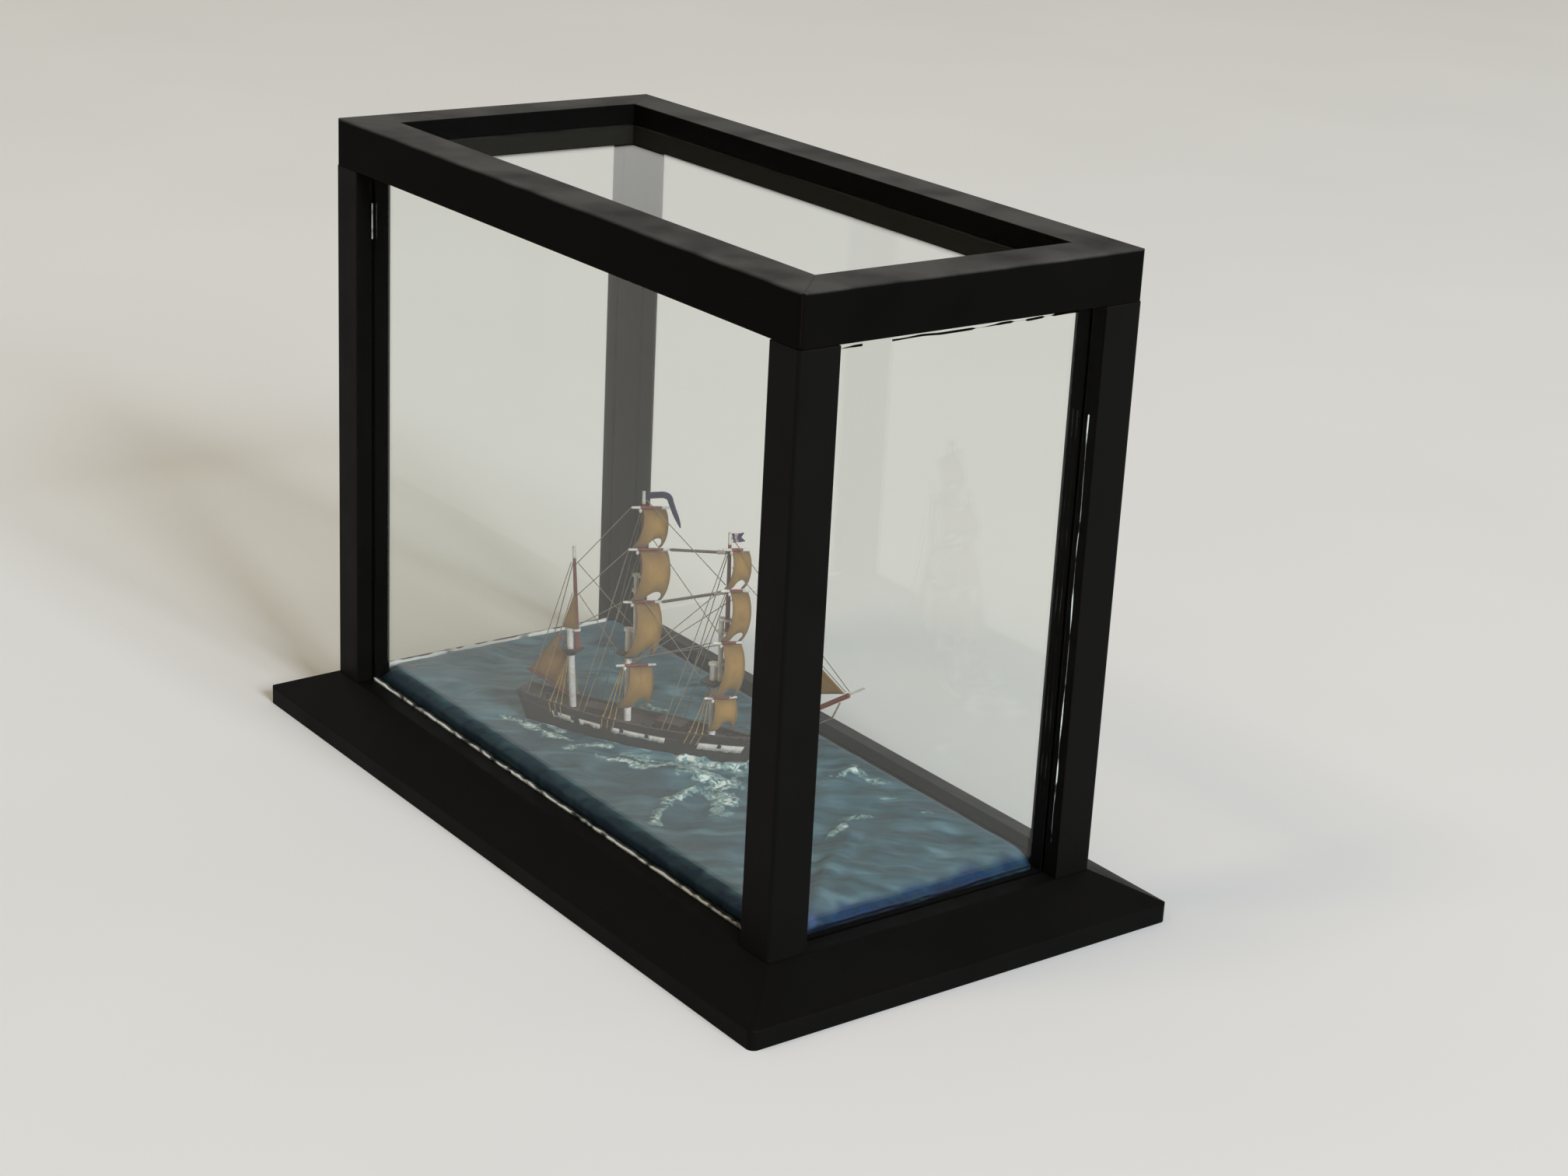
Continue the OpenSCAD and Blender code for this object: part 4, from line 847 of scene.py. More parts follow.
class SHIPCASE_OT_sea(bpy.types.Operator):
    """Carve and paint the sea"""

    bl_idname = "shipcase.sea"
    bl_label = "Sea"

    # The block: heights of its foot and of calm water, half lengths, front, back corners and front notches
    BASE_Z, CALM_Z = 17.0, 23.0
    HALF, FRONT = (140.0, 55.4), 60.5
    CORNER_R, NOTCH_R = 4.0, 5.1
    # How far past the hull its flat bed reaches, and over how far the swell sets in from there and from the edges
    BED_MARGIN, BED_EASE, EDGE_EASE = 4.0, 9, 16
    # How far the edges fall, and from how far in
    SIDE_FALL, SIDE_IN, END_FALL, END_IN = 1.8, 5, 4.2, 9
    COLUMNS, FRONT_ROWS, ROWS, WALL_ROWS = 430, 12, 176, 5
    # Sines of the swell: share of its height, degrees for each mm along X and along Y, and a start in degrees
    SWELL_H = 1.3
    SWELL = ((0.55, 7.1, 3.4, 0), (0.3, -4.7, 11.3, 40), (0.25, 19, 13, 110))
    # Bow wave: its place ahead and off, half length and half width, how it spreads aft, and its height over the swell's
    BOW_X, BOW_Y, BOW_RUN, BOW_HALF, BOW_SPREAD, BOW_H = 40, 19, 16, 5, 0.35, 1.5
    # How far in from stern and stem the waterline lies
    STERN_IN, STEM_IN = 4, 6
    # How far in the rim's blue reaches: from the front, the back and the left end, and the right end
    RIM_FRONT, RIM_REST, RIM_RIGHT = 7, 3.5, 8.5
    # Strokes of foam: from x, y to x, y in the case, half width, strength, lift, all in mm but the strength
    FOAM = (
        (-62, -44, -50, -39, 1.9, 0.85, 0.4),
        (-50, -40, -41, -39.5, 2.0, 0.95, 0.4),
        (-42, -39.5, -31, -35.7, 2.1, 1.0, 0.5),
        (-47, -33, -41, -33, 2.6, 0.9, 1.0),
        (-22.5, -41, -19, -25, 2.6, 0.95, 0.6),
        (-11, -34.5, -5.5, -27.5, 1.9, 0.95, 0.5),
        (-6, -27.5, 2, -25, 2.3, 1.0, 0.7),
        (2, -25, 10, -22.5, 2.6, 1.0, 0.7),
        (-9, -23, 5, -17, 3.2, 0.75, 0.3),
        (9, -20, 14, -8, 4.0, 0.9, 0.5),
        (10, -6, 26, 5, 6.0, 1.0, 0.5),
        (17, -11, 36, -6, 6.0, 1.0, 0.7),
        (34, -8, 48, -16, 5.5, 0.9, 0.6),
        (45, -15, 53, -22, 4.0, 0.75, 0.4),
        (49, -48, 38, -35, 2.1, 0.8, 0.7),
        (38, -35, 33, -20, 2.8, 0.9, 1.0),
        (90, 0, 86, 9, 2.0, 1.0, 1.2),
        (82, 14, 83, 22, 2.6, 0.75, 0.6),
        (49, 33, 48, 43, 2.0, 0.7, 0.5),
        (48, 43, 61, 45, 3.0, 0.75, 0.6),
        (72, 36, 77, 44, 1.1, 0.6, 0.3),
        (92.5, 40, 94.5, 43, 1.0, 0.85, 0.3),
        (-42, 9, -35, 13, 2.0, 0.75, 0.4),
        (-6, 30, 8, 32, 1.2, 0.4, 0.2),
    )
    # Long carved crests and hollows without foam: from x, y to x, y, half width and height
    CRESTS = (
        (136, -42, 94, 4, 4.0, 2.1),
        (126, -44, 104, -14, 4.0, -1.1),
        (97, 8, 130, 6, 4.5, 0.8),
        (-104, -46, -82, -30, 4.0, 1.0),
        (-70, -30, -52, -26, 4.0, 0.8),
        (62, 20, 84, 36, 4.0, 0.7),
        (24, -24, 48, -27, 4.0, -0.9),
    )

    def execute(self, context):
        look = context.scene.shipcase_sea
        top = self.surface(look.ripple / MM)
        wall = self.wall(top)
        foam, rim = self.foam(top[..., 0], top[..., 1])
        middle = np.broadcast_to([0.0, 0.0, self.BASE_Z], wall[-1:].shape)
        bed = np.concatenate([wall[-1:], middle])
        patches = [Patch(top), Patch(wall, ring=True), Patch(bed, ring=True)]
        rest = (len(wall) + len(bed)) * wall.shape[1]
        values = {
            "foam": np.concatenate([foam.ravel(), np.zeros(rest)]),
            "rim": np.concatenate([rim.ravel(), np.ones(rest)]),
        }
        piece("carved_sea", patches, [oil_sea(look)], ["sea"], values=values)
        return {"FINISHED"}

    def row_half(self, y):
        """Half length of the block at y: a quarter circle at the back corners and one in front, before the posts."""
        radius = np.where(y > 0, self.CORNER_R, self.NOTCH_R)
        over = np.clip(np.abs(y) - self.HALF[1] + radius, 0, radius)
        return self.HALF[0] - radius + np.sqrt(radius**2 - over**2)

    def edges(self, x, y):
        """Distances in from the block's ends, its front and its back."""
        return self.row_half(y) - np.abs(x), self.FRONT + y, self.HALF[1] - y

    def along_stroke(self, x, y, x0, y0, x1, y1, width, power=2):
        """Bell curve across a straight stroke: exp of minus a power of the distance over the half width."""
        run, rise = x1 - x0, y1 - y0
        share = np.clip(((x - x0) * run + (y - y0) * rise) / (run * run + rise * rise), 0, 1)
        away = np.hypot(x - x0 - share * run, y - y0 - share * rise) / width
        return np.exp(-(away**power))

    def ship_axes(self, x, y):
        """Places on the water in the ship's axes."""
        c, s = math.cos(math.radians(HEADING)), math.sin(math.radians(HEADING))
        dx, dy = x - SHIP_AT[0], y - SHIP_AT[1]
        return dx * c + dy * s, dy * c - dx * s

    def by_hull(self, qx, qy, reach):
        """Bell curve out from the waterline, by the larger of the distances past the side and past the ends."""
        side = np.abs(qy) - half_beam(np.clip(station(qx), 0, 1)) * WATERLINE_SHARE
        off = np.maximum(side, np.maximum(self.STERN_IN - STERN_X - qx, qx - STEM_X + self.STEM_IN))
        return np.exp(-((np.maximum(off, 0) / reach) ** 2))

    def surface(self, ripple):
        """Sea's top: the CAD's swell and bow wave, with ripples, crests and foam ridges.

        The swell is three sines, the bow wave a bell on each side of the bow, and ripples are folded noise, sharp at
        their tops. The bed under the hull stays flat, water climbs the hull towards the bow, and the block's edges fall
        away.
        """
        lip = np.linspace(-self.FRONT, -self.HALF[1], self.FRONT_ROWS, endpoint=False)
        rows = np.concatenate([lip, np.linspace(-self.HALF[1], self.HALF[1], self.ROWS)])
        y, across = np.meshgrid(rows, np.linspace(-1, 1, self.COLUMNS), indexing="ij")
        x = across * self.row_half(y)
        qx, qy = self.ship_axes(x, y)
        clear = np.maximum(np.maximum(-STERN_X - qx, qx - STEM_X), np.abs(qy) - HALF_BEAM)
        free = ease((clear - self.BED_MARGIN) / self.BED_EASE)
        swell = sum(high * np.sin(np.radians(a * x + b * y + start)) for high, a, b, start in self.SWELL)
        ahead = qx - self.BOW_X
        off = np.abs(qy) - self.BOW_Y + ahead * self.BOW_SPREAD
        bow = self.BOW_H * np.exp(-((ahead / self.BOW_RUN) ** 2) - (off / self.BOW_HALF) ** 2)
        end, front, back = self.edges(x, y)
        side = np.minimum(front, back)
        calm = ease(np.minimum(end, side) / self.EDGE_EASE)
        z = self.CALM_Z + calm * free * self.SWELL_H * (swell + bow)
        z -= self.SIDE_FALL * (1 - np.clip(side / self.SIDE_IN, 0, 1)) ** 2
        z -= self.END_FALL * (1 - np.clip(end / self.END_IN, 0, 1)) ** 2
        # Ripples lie 53 degrees round: 24 by 11 mm, half as high at 11 by 5 mm, and a grain of 3 by 1.6 mm
        u, v = x * 0.6 + y * 0.8, y * 0.6 - x * 0.8
        folds = 0.5 - np.abs(noise(u / 24, v / 11, 1)) + 0.5 * (0.5 - np.abs(noise(u / 11, v / 5, 2)))
        dry = ease((clear + 1.0) / 3)
        z += ripple * dry * (0.4 + 0.6 * calm) * (folds + 0.2 * noise(u / 3, v / 1.6, 4))
        # Water climbs the side by 0.4 mm aft and 2.3 mm at the bow
        climb = self.by_hull(qx, qy, 2.4) * (0.4 + 1.9 * ease((qx - 5) / 40))
        z += climb * (0.7 + 0.6 * noise(x / 3, y / 3, 19))
        ragged = dry * (0.7 + 0.5 * noise(x / 1.7, y / 1.7, 6))
        for *stroke, _, lift in self.FOAM:
            z += lift * ragged * self.along_stroke(x, y, *stroke)
        bent = x + 2 * noise(x / 15, y / 15, 7)
        for *stroke, height in self.CRESTS:
            z += height * self.along_stroke(bent, y, *stroke)
        return at(x, y, np.maximum(z, self.BASE_Z + 1))

    def wall(self, top):
        """Block's rough-cut side: its top outline carried down to the plinth, cut in and out by less than half a mm."""
        outline = np.concatenate([top[0, :-1], top[:-1, -1], top[-1, :0:-1], top[:0:-1, 0]])
        share = np.linspace(0, 1, self.WALL_ROWS)[:, None]
        along = np.linspace(0, 1, len(outline))[None, :] * 400
        cut = 0.45 * np.sin(np.pi * share) * (noise(along / 3, share * 3, 9) - 0.4)
        out = unit(outline[:, :2])
        x, y = (outline[:, i] + cut * out[:, i] for i in range(2))
        return at(x, y, outline[:, 2] * (1 - share) + self.BASE_Z * share)

    def foam(self, x, y):
        """Shares of foam and of the rim's blue. Foam follows its strokes and the hull's waterline, broken by noise."""
        stray_x, stray_y = (v + 1.2 * noise(x / 4, y / 4, seed) for v, seed in ((x, 11), (y, 12)))
        swell = 1.1 + 0.6 * noise(x / 3.5, y / 3.5, 15)
        total = np.zeros_like(x)
        for *ends, width, strength, _ in self.FOAM:
            stroke = self.along_stroke(stray_x, stray_y, *ends, width * swell, 3)
            total = np.maximum(total, strength * stroke)
        qx, qy = self.ship_axes(x, y)
        wash = self.by_hull(qx, qy, 2) * (0.45 + 0.5 * ease((qx + 10) / 50))
        total = np.maximum(total, wash * ease(0.7 + 1.2 * noise(x / 3.5, y / 3.5, 13)))
        total *= 0.9 + 0.3 * noise(x / 1.4, y / 1.4, 16)
        end, front, back = self.edges(x, y)
        near = np.minimum(front / self.RIM_FRONT, back / self.RIM_REST)
        near = np.minimum(near, end / np.where(x > 0, self.RIM_RIGHT, self.RIM_REST))
        rim = 1 - ease(near - 0.1 + 0.3 * noise(x / 5, y / 5, 14))
        return np.clip(total, 0, 1), rim


class SHIPCASE_OT_hull(bpy.types.Operator):
    """Build the hull with its rail and wales, and finish the deck, strips, ports and houses"""

    bl_idname = "shipcase.hull"
    bl_label = "Hull"

    WELL = (0.03, 0.96)
    STATIONS = 120
    # Rail and wale: from and to a share of the height, how far out and how far in
    STRAKES = ((1.0, 1.035, 0.3, BULWARK_T + 0.2), (0.7, 0.735, 0.28, 0.1))
    # White band: runs from x to x with the share of its height worn away, then the black ports across its top edge
    BAND = ((-30.6, -20.6, 0.2), (-17.6, -7.8, 0.7), (-2.4, 21.4, 0.3), (35.6, 53.8, 0.15))
    BAND_T, BAND_PROUD = (0.44, 0.71), 0.3
    PORTS_X = (-28.6, -20.6, 2.3, 13.7, 44.3)
    PORT_T, PORT_HALF = (0.58, 0.75), 0.8
    # Hatches: x and half length. Capstan and wheel drum: x, and their heights and radii up from the deck
    HATCHES, HATCH_HALF_H = ((-12.5, 1.9), (9.5, 2.3), (47.5, 1.5)), 0.35
    DRUMS_X = (44.0, -36.0)
    DRUM_Z, DRUM_R = (0, 0.4, 0.7, 1.5, 1.9, 2.1), (0.9, 0.9, 0.55, 0.65, 0.95, 0.4)

    def execute(self, context):
        look = context.scene.shipcase_ship
        hull = painted_wood("dark_brown_hull_paint", look.hull, 1.2, 0.08)
        rail = painted_wood("brown_rail_paint", look.rail, 0.8, 0.05, roughness=0.55)
        black = painted_wood("black_port_paint", look.port, 0.6, dark=0.5, roughness=0.5)
        white = painted_wood("worn_white_paint", look.band, 0.7, 0.05, dark=0.62, spread=0.9)
        deck = painted_wood("aged_deck_wood", look.deck, 0.5, 0.04, dark=0.65, roughness=0.7)
        piece("hull_body", [solid(aboard(self.body()))], [hull], ["hull"])
        rails = [solid(aboard(self.strake(side, *strake))) for strake in self.STRAKES for side in SIDES]
        piece("rails_and_wales", rails, [rail])
        ports = [solid(aboard(self.port(x, side))) for x in self.PORTS_X for side in SIDES]
        piece("port_lids", ports, [black])
        band = [solid(aboard(self.band(side, *run))) for run in self.BAND for side in SIDES]
        piece("white_band", band, [white], ["port_strips"])
        dress(deck, "deck")
        dress(rail, "deck_houses")
        fittings = [solid(aboard(rings), material) for rings, material in self.fittings()]
        piece("deck_fittings", fittings, [rail, black])
        return {"FINISHED"}

    def body(self):
        """Hull as rings of points, one to a station: keel, flaring side, bulwark's top, inside, deck bed.

        Between the well's ends the inside goes down to the deck's bed; past them it stays at the rail.
        """
        low, high = self.WELL
        tick = 1e-4
        s = np.concatenate([[0, low - tick], np.linspace(low + tick, high - tick, self.STATIONS), [high + tick, 1]])
        side = planking(s[:, None], np.linspace(0, 1, 16)[None, :], STARBOARD)
        top = side[:, -1].copy()
        top[:, 1] = -np.maximum(half_beam(s) - BULWARK_T, 0.1)
        foot = top.copy()
        foot[:, 2] = np.where((s > low) & (s < high), deck_at(s), rail_at(s))
        half = np.concatenate([side, top[:, None], foot[:, None]], axis=1)
        return np.concatenate([half, half[:, ::-1] * np.array([1, -1, 1])], axis=1)

    def strake(self, side, low, high, out, inward):
        """Plank bent along the side between two shares of the height, standing out by out and in by inward."""
        s = np.linspace(0.004, 0.985, 90)
        within, edge = -np.minimum(inward, half_beam(s) * 0.9), out * 0.7
        section = ((low, edge), ((low + high) / 2, out), (high, edge), (high, within), (low, within))
        return np.stack([planking(s, t, side, reach) for t, reach in section], axis=1)

    def band(self, side, start, end, worn):
        """Thin painted strip along the side, its lower edge eaten away by noise."""
        x = np.linspace(start, end, 70)
        low, high = self.BAND_T
        low = low + (high - low) * 0.9 * worn * (0.5 + 0.5 * noise(x / 0.9, 0, 21))
        out = self.BAND_PROUD
        section = ((low, out), (high, out), (high, -out), (low, -out))
        return np.stack([planking(station(x), t, side, reach) for t, reach in section], axis=1)

    def port(self, x, side):
        """Square port lid, standing just proud of the white band."""
        low, high = self.PORT_T
        s0, s1 = station(x - self.PORT_HALF), station(x + self.PORT_HALF)
        corners = ((s0, low), (s1, low), (s1, high), (s0, high))
        return np.array([[planking(s, t, side, out) for s, t in corners] for out in (-0.1, 0.42, 0.5)])

    def fittings(self):
        """Hatches, capstan, wheel drum, catheads and rudder head, each with the number of its material."""
        for x, half in self.HATCHES:
            middle = at(x, 0, deck_at(station(x)) + DECK_T + self.HATCH_HALF_H)
            yield slab(middle, half, half * 0.8, self.HATCH_HALF_H), 0
        for x in self.DRUMS_X:
            path = at(x, 0, deck_at(station(x)) + DECK_T + np.array(self.DRUM_Z))
            yield tube(path, self.DRUM_R, 16), 1
        for side in SIDES:
            start = planking(0.93, 0.98, side, -0.4)
            yield tube(np.linspace(start, start + at(2.2, side * 1.8, 0.5), 4), 0.4, 8), 0
        yield slab(planking(0.0, 0.2, 0) + at(-0.9, 0, 1.5), 0.7, 0.3, 3.2), 0


class SHIPCASE_OT_spars(bpy.types.Operator):
    """Finish the masts, tops, caps, bowsprit and yards, with their white ends and blocks"""

    bl_idname = "shipcase.spars"
    bl_label = "Spars"

    ARM_LENGTH, HEAD_LENGTH, PAINT_T = 3.6, 4.6, 0.06
    # Rope blocks: how far abaft and under the yard, how far in from its white end, and their half height and radius
    BLOCK_BACK, BLOCK_DOWN, BLOCK_IN, BLOCK_HALF, BLOCK_R = 0.2, 1.3, 0.6, 0.85, 0.62

    def execute(self, context):
        look = context.scene.shipcase_ship
        red = painted_wood("reddish_spar_stain", look.spar, 0.5, dark=0.5, roughness=0.5)
        white = painted_wood("aged_mast_paint", look.mast, 0.6, dark=0.66, spread=0.9)
        dark = painted_wood("dark_top_paint", look.dark_spar, 0.6)
        dress(white, *(f"{mast}_lower_mast" for mast in MAST_NAMES))
        dress(white, "fore_topmast", "main_topmast", "mast_caps", "jib_boom")
        dress(red, "fore_topgallant_mast", "main_topgallant_mast", "mizzen_topmast")
        dress(red, "bowsprit", "spanker_boom", "spanker_gaff")
        dress(red, *(f"{MAST_NAMES[m]}_{tier}_yard" for m in SQUARE_RIGGED for tier in TIERS))
        dress(dark, *(f"{mast}_top" for mast in MAST_NAMES))
        ends, blocks = [], []
        for m, k in product(SQUARE_RIGGED, range(len(TIERS))):
            ends += [solid(aboard(on_yard(m, k, self.arm(m, k, side)))) for side in SIDES]
            out = YARD_HALF[m][k] - self.ARM_LENGTH - self.BLOCK_IN
            block = egg(at(-self.BLOCK_BACK, STARBOARD * out, -self.BLOCK_DOWN), self.BLOCK_HALF, self.BLOCK_R, 10, 9)
            blocks.append(solid(aboard(on_yard(m, k, block))))
        ends += [solid(aboard(on_mast(m, self.head(m)))) for m in MASTS]
        piece("white_spar_ends", ends, [white])
        piece("yard_blocks", blocks, [white])
        return {"FINISHED"}

    def arm(self, m, k, side):
        """White sleeve of paint over a yard's end: a tapered tube that rounds off past the end."""
        half = YARD_HALF[m][k]
        y = half - self.ARM_LENGTH * (1 - np.linspace(0, 1, 8))
        radius = YARD_R * (1 - (1 - YARD_TAPER) * y / half) + self.PAINT_T
        radius = np.concatenate([radius, [radius[-1] * 0.7, 0.05]])
        y = np.concatenate([y, [half + 0.12, half + 0.2]])
        return tube(at(0, side * y, 0), radius, 12)

    def head(self, m):
        """White paint over the last of a mast's pole, with its round truck."""
        top = TRUCK_Z[m]
        x, foot_r = (TOPMAST_X, TOPMAST_R) if m == MIZZEN else (TOPGALLANT_X, TOPGALLANT_R)
        foot = LOWER_Z[m][0] + TOP_T + RIG_GAP if m == MIZZEN else LOWER_Z[m][2]
        z = np.linspace(top - self.HEAD_LENGTH, top, 8)
        radius = foot_r + (TRUCK_R - foot_r) * (z - foot) / (top - foot) + 0.05
        radius = np.concatenate([radius, [0.75, 0.6, 0.1]])
        z = np.concatenate([z, top + np.array([0.05, 0.3, 0.45])])
        return tube(at(x, 0, z), radius, 12)


class SHIPCASE_OT_square_sails(bpy.types.Operator):
    """Bend and colour the eight square sails"""

    bl_idname = "shipcase.square_sails"
    bl_label = "Square sails"

    def execute(self, context):
        look = context.scene.shipcase_ship
        paper = sail_sheet(look)
        for m, (k, tier) in product(SQUARE_RIGGED, enumerate(TIERS)):
            sail = f"{MAST_NAMES[m]}_{tier}"
            sheet = aboard(on_yard(m, k, self.sail(m, k)))
            piece(sail + "_sail", [Patch(sheet)], [paper], [sail], look.sail_t)
        return {"FINISHED"}

    def sail(self, m, k):
        """Sheet hung from its yard: an arc down its drop, flatter towards its sides, flared at the foot to starboard.

        Each column ends at the foot, which is straight but for a round-topped arch near the port clew.
        """
        half, drop, flare = HEAD_HALF[m][k], DROP[m][k], FLARE[m][k]
        belly = SAIL_BELLY * drop
        bend_r = (drop * drop / 4 + belly * belly) / (2 * belly)
        starboard, port = SAIL_SHIFT - half, SAIL_SHIFT + half
        arch_r = half * ARCH_SHARE
        arch_y = port - arch_r - ARCH_IN
        left, right = arch_y - arch_r, arch_y + arch_r
        lip = 1e-3
        swing = np.clip(arch_y + arch_r * np.cos(np.linspace(np.pi, 0, 25)), left, right)
        foot_y = np.concatenate(
            [np.linspace(starboard - flare, left - lip, 18), swing, np.linspace(right + lip, port, 6)]
        )
        across = (foot_y - foot_y[0]) / (port - foot_y[0])
        off = np.abs(foot_y - arch_y)
        arch = np.where(off <= arch_r, FOOT_ARCH - arch_r + np.sqrt(np.maximum(arch_r**2 - off**2, 0)), 0)
        down = np.linspace(0, 1, 30)[:, None] * (drop - arch)[None, :]
        side = starboard - flare * down / drop
        y = side + (port - side) * across
        x = belly - bend_r + np.sqrt(bend_r**2 - (down - drop / 2) ** 2) - SHEET_T / 2
        x = x * (1 - SIDE_FLAT * (2 * across - 1) ** 2)
        return at(x, y, -(YARD_R + RIG_GAP) - down)


class SHIPCASE_OT_fore_and_aft_sails(bpy.types.Operator):
    """Shape the spanker, gaff topsail and jib"""

    bl_idname = "shipcase.fore_and_aft_sails"
    bl_label = "Fore-and-aft sails"

    def execute(self, context):
        look = context.scene.shipcase_ship
        paper = sail_sheet(look)
        sheets = {
            "spanker": on_mast(MIZZEN, self.spanker()),
            "gaff_topsail": on_mast(MIZZEN, self.gaff_topsail()),
            "jib": self.jib(),
        }
        for sail, sheet in sheets.items():
            piece(sail + "_sail", [Patch(aboard(sheet))], [paper], [sail], look.sail_t)
        return {"FINISHED"}

    def cambered(self, luff, leech, camber):
        """Sheet ruled from luff to leech, both given as points from foot to head, and bellied to one side.

        The belly is camber times the width, a sine across the sheet and zero at its foot and head.
        """
        rows = np.linspace(0, 1, 24)
        fore, aft = (
            np.stack([np.interp(rows, np.linspace(0, 1, len(edge)), [p[i] for p in edge]) for i in range(2)], -1)
            for edge in (luff, leech)
        )
        across = np.linspace(0, 1, 20)[None, :, None]
        flat = fore[:, None] * (1 - across) + aft[:, None] * across
        wide = np.linalg.norm(aft - fore, axis=-1)[:, None]
        belly = camber * wide * np.sin(np.pi * across[..., 0]) * np.sin(np.pi * (0.15 + 0.7 * rows))[:, None]
        return at(flat[..., 0], belly, flat[..., 1])

    def spanker(self):
        """Four-sided sheet between boom and gaff: straight up the mast, then slanting aft under the top."""
        off = BOOM_R + RIG_GAP
        rise, peak = math.radians(BOOM_RISE), math.radians(GAFF_PEAK)
        top = LOWER_Z[MIZZEN][0]
        heel_x = -LOWER_R - BOOM_R - RIG_GAP
        gaff_z = top + TOP_T + GAFF_ABOVE_TOP - BOOM_R
        # Clear of the mast, in from the boom's end, and below the top
        luff_gap, clew_in, below_top = 0.4, 1.2, 2.2
        luff = heel_x - luff_gap
        tack_z, below_z = BOOM_Z + off * 1.5 + luff_gap * math.tan(rise), top - below_top
        clew = (
            heel_x - BOOM_LENGTH * math.cos(rise) + clew_in,
            BOOM_Z + BOOM_LENGTH * math.sin(rise) + off * 1.2 - clew_in * math.tan(rise),
        )
        head = heel_x - GAFF_LENGTH * math.cos(peak) + 0.3, gaff_z + GAFF_LENGTH * math.sin(peak) - off * 1.6
        throat = luff - 2.6, top + TOP_T + RIG_GAP * 3
        edge = [(luff, tack_z), (luff, (tack_z + below_z) / 2), (luff, below_z), throat]
        return self.cambered(edge, [clew, head], 0.05)

    def gaff_topsail(self):
        """Flat three-sided sheet beside the mizzen topmast."""
        foot, tall = 6.2, 14.8
        low = LOWER_Z[MIZZEN][1] + RIG_GAP * 2
        luff = TOPMAST_X + TOPMAST_R * 0.6
        high = low + tall
        sheet = self.cambered([(luff, low), (luff - 0.2, high)], [(luff - foot, low), (luff - 0.25, high)], 0.0)
        return sheet - at(0, TOPMAST_R + RIG_GAP + SHEET_T / 2, 0)

    def jib(self):
        """Three-sided sheet under its stay, its luff a little clear of it."""
        head = JIB_TACK + 0.58 * (JIB_STAY_TOP - JIB_TACK)
        below = np.array([-0.5, -0.7])
        tack, top = JIB_TACK[[0, 2]] + below, head[[0, 2]] + below
        clew = JIB_TACK[[0, 2]] - np.array([24, 6.5])
        return self.cambered([tack, top], [clew, top + np.array([-0.1, 0])], 0.05)


class SHIPCASE_OT_flags(bpy.types.Operator):
    """Fly the pennant and the flag"""

    bl_idname = "shipcase.flags"
    bl_label = "Flags"

    def execute(self, context):
        look = context.scene.shipcase_ship
        navy = flag_paper("navy_painted_paper", look.pennant)
        parted = flag_paper("navy_and_pale_painted_paper", look.pennant, look.flag_fly)
        pennant = Patch(self.hoisted(MAIN, self.pennant(), PENNANT_W))
        piece("main_pennant", [pennant], [navy], ["pennant"], look.flag_t)
        flag = Patch(self.hoisted(FORE, self.flag(), FLAG_HOIST))
        piece("fore_flag", [flag], [parted], ["flag"], look.flag_t)
        return {"FINISHED"}

    def hoisted(self, m, sheet, hoist):
        """Sheet set at a truck and lifted by the breeze."""
        pole = TOPGALLANT_X + TRUCK_R + RIG_GAP * 2 + hoist * math.sin(math.radians(FLAG_RISE))
        return aboard(on_mast(m, turn(sheet, 1, -FLAG_RISE) + at(pole, 0, TRUCK_Z[m] - hoist)))

    def pennant(self):
        """Ribbon that flies level, turns down in a quarter circle and hangs to a slanted point, rippling as it goes."""
        angle = np.radians(np.linspace(90, 0, 14))
        round_corner = np.stack([np.cos(angle), np.sin(angle)], -1)
        corner = np.array([PENNANT_RUN, -PENNANT_TURN_R])
        level = np.linspace(0, PENNANT_RUN, 12)[:-1]
        inner, outer = (
            [np.stack([level, 0 * level + up], -1), corner + (PENNANT_TURN_R + up) * round_corner]
            for up in (0, PENNANT_W)
        )
        tip = corner + np.array([PENNANT_TURN_R + PENNANT_W * 1.3, -PENNANT_HANG - 5.0])
        hang = np.linspace(0, 1, 14)[1:, None]
        taper = hang**2.2
        near, far = inner[1][-1], outer[1][-1]
        inner.append(near + hang * (tip - near))
        outer.append(inner[2] + (1 - taper) * (far - near) + taper * np.array([0.35, 0.3]))
        inner, outer = np.concatenate(inner), np.concatenate(outer)
        across = np.linspace(0, 1, 5)[None, :, None]
        flat = inner[:, None] * (1 - across) + outer[:, None] * across
        along = np.linspace(0, 1, len(inner))[:, None]
        wave = 0.35 * ease(along * 3) * np.sin(2 * np.pi * (2.1 * along + 0.15 * across[..., 0]))
        return at(flat[..., 0], wave, flat[..., 1])

    def flag(self):
        """Swallow-tailed sheet: its fly is cut in by a third of its length at mid height, and it ripples along."""
        along = np.linspace(0, 1, 22)[:, None]
        up = np.linspace(0, 1, 15)[None, :]
        fly = FLAG_LENGTH - 1.6 * (1 - np.abs(2 * up - 1) ** 0.9)
        wave = 0.45 * ease(along * 2) * np.sin(2 * np.pi * (1.05 * along + 0.12 * up))
        return at(fly * along, wave, FLAG_HOIST * up + 0.4 * along * (1 - up))


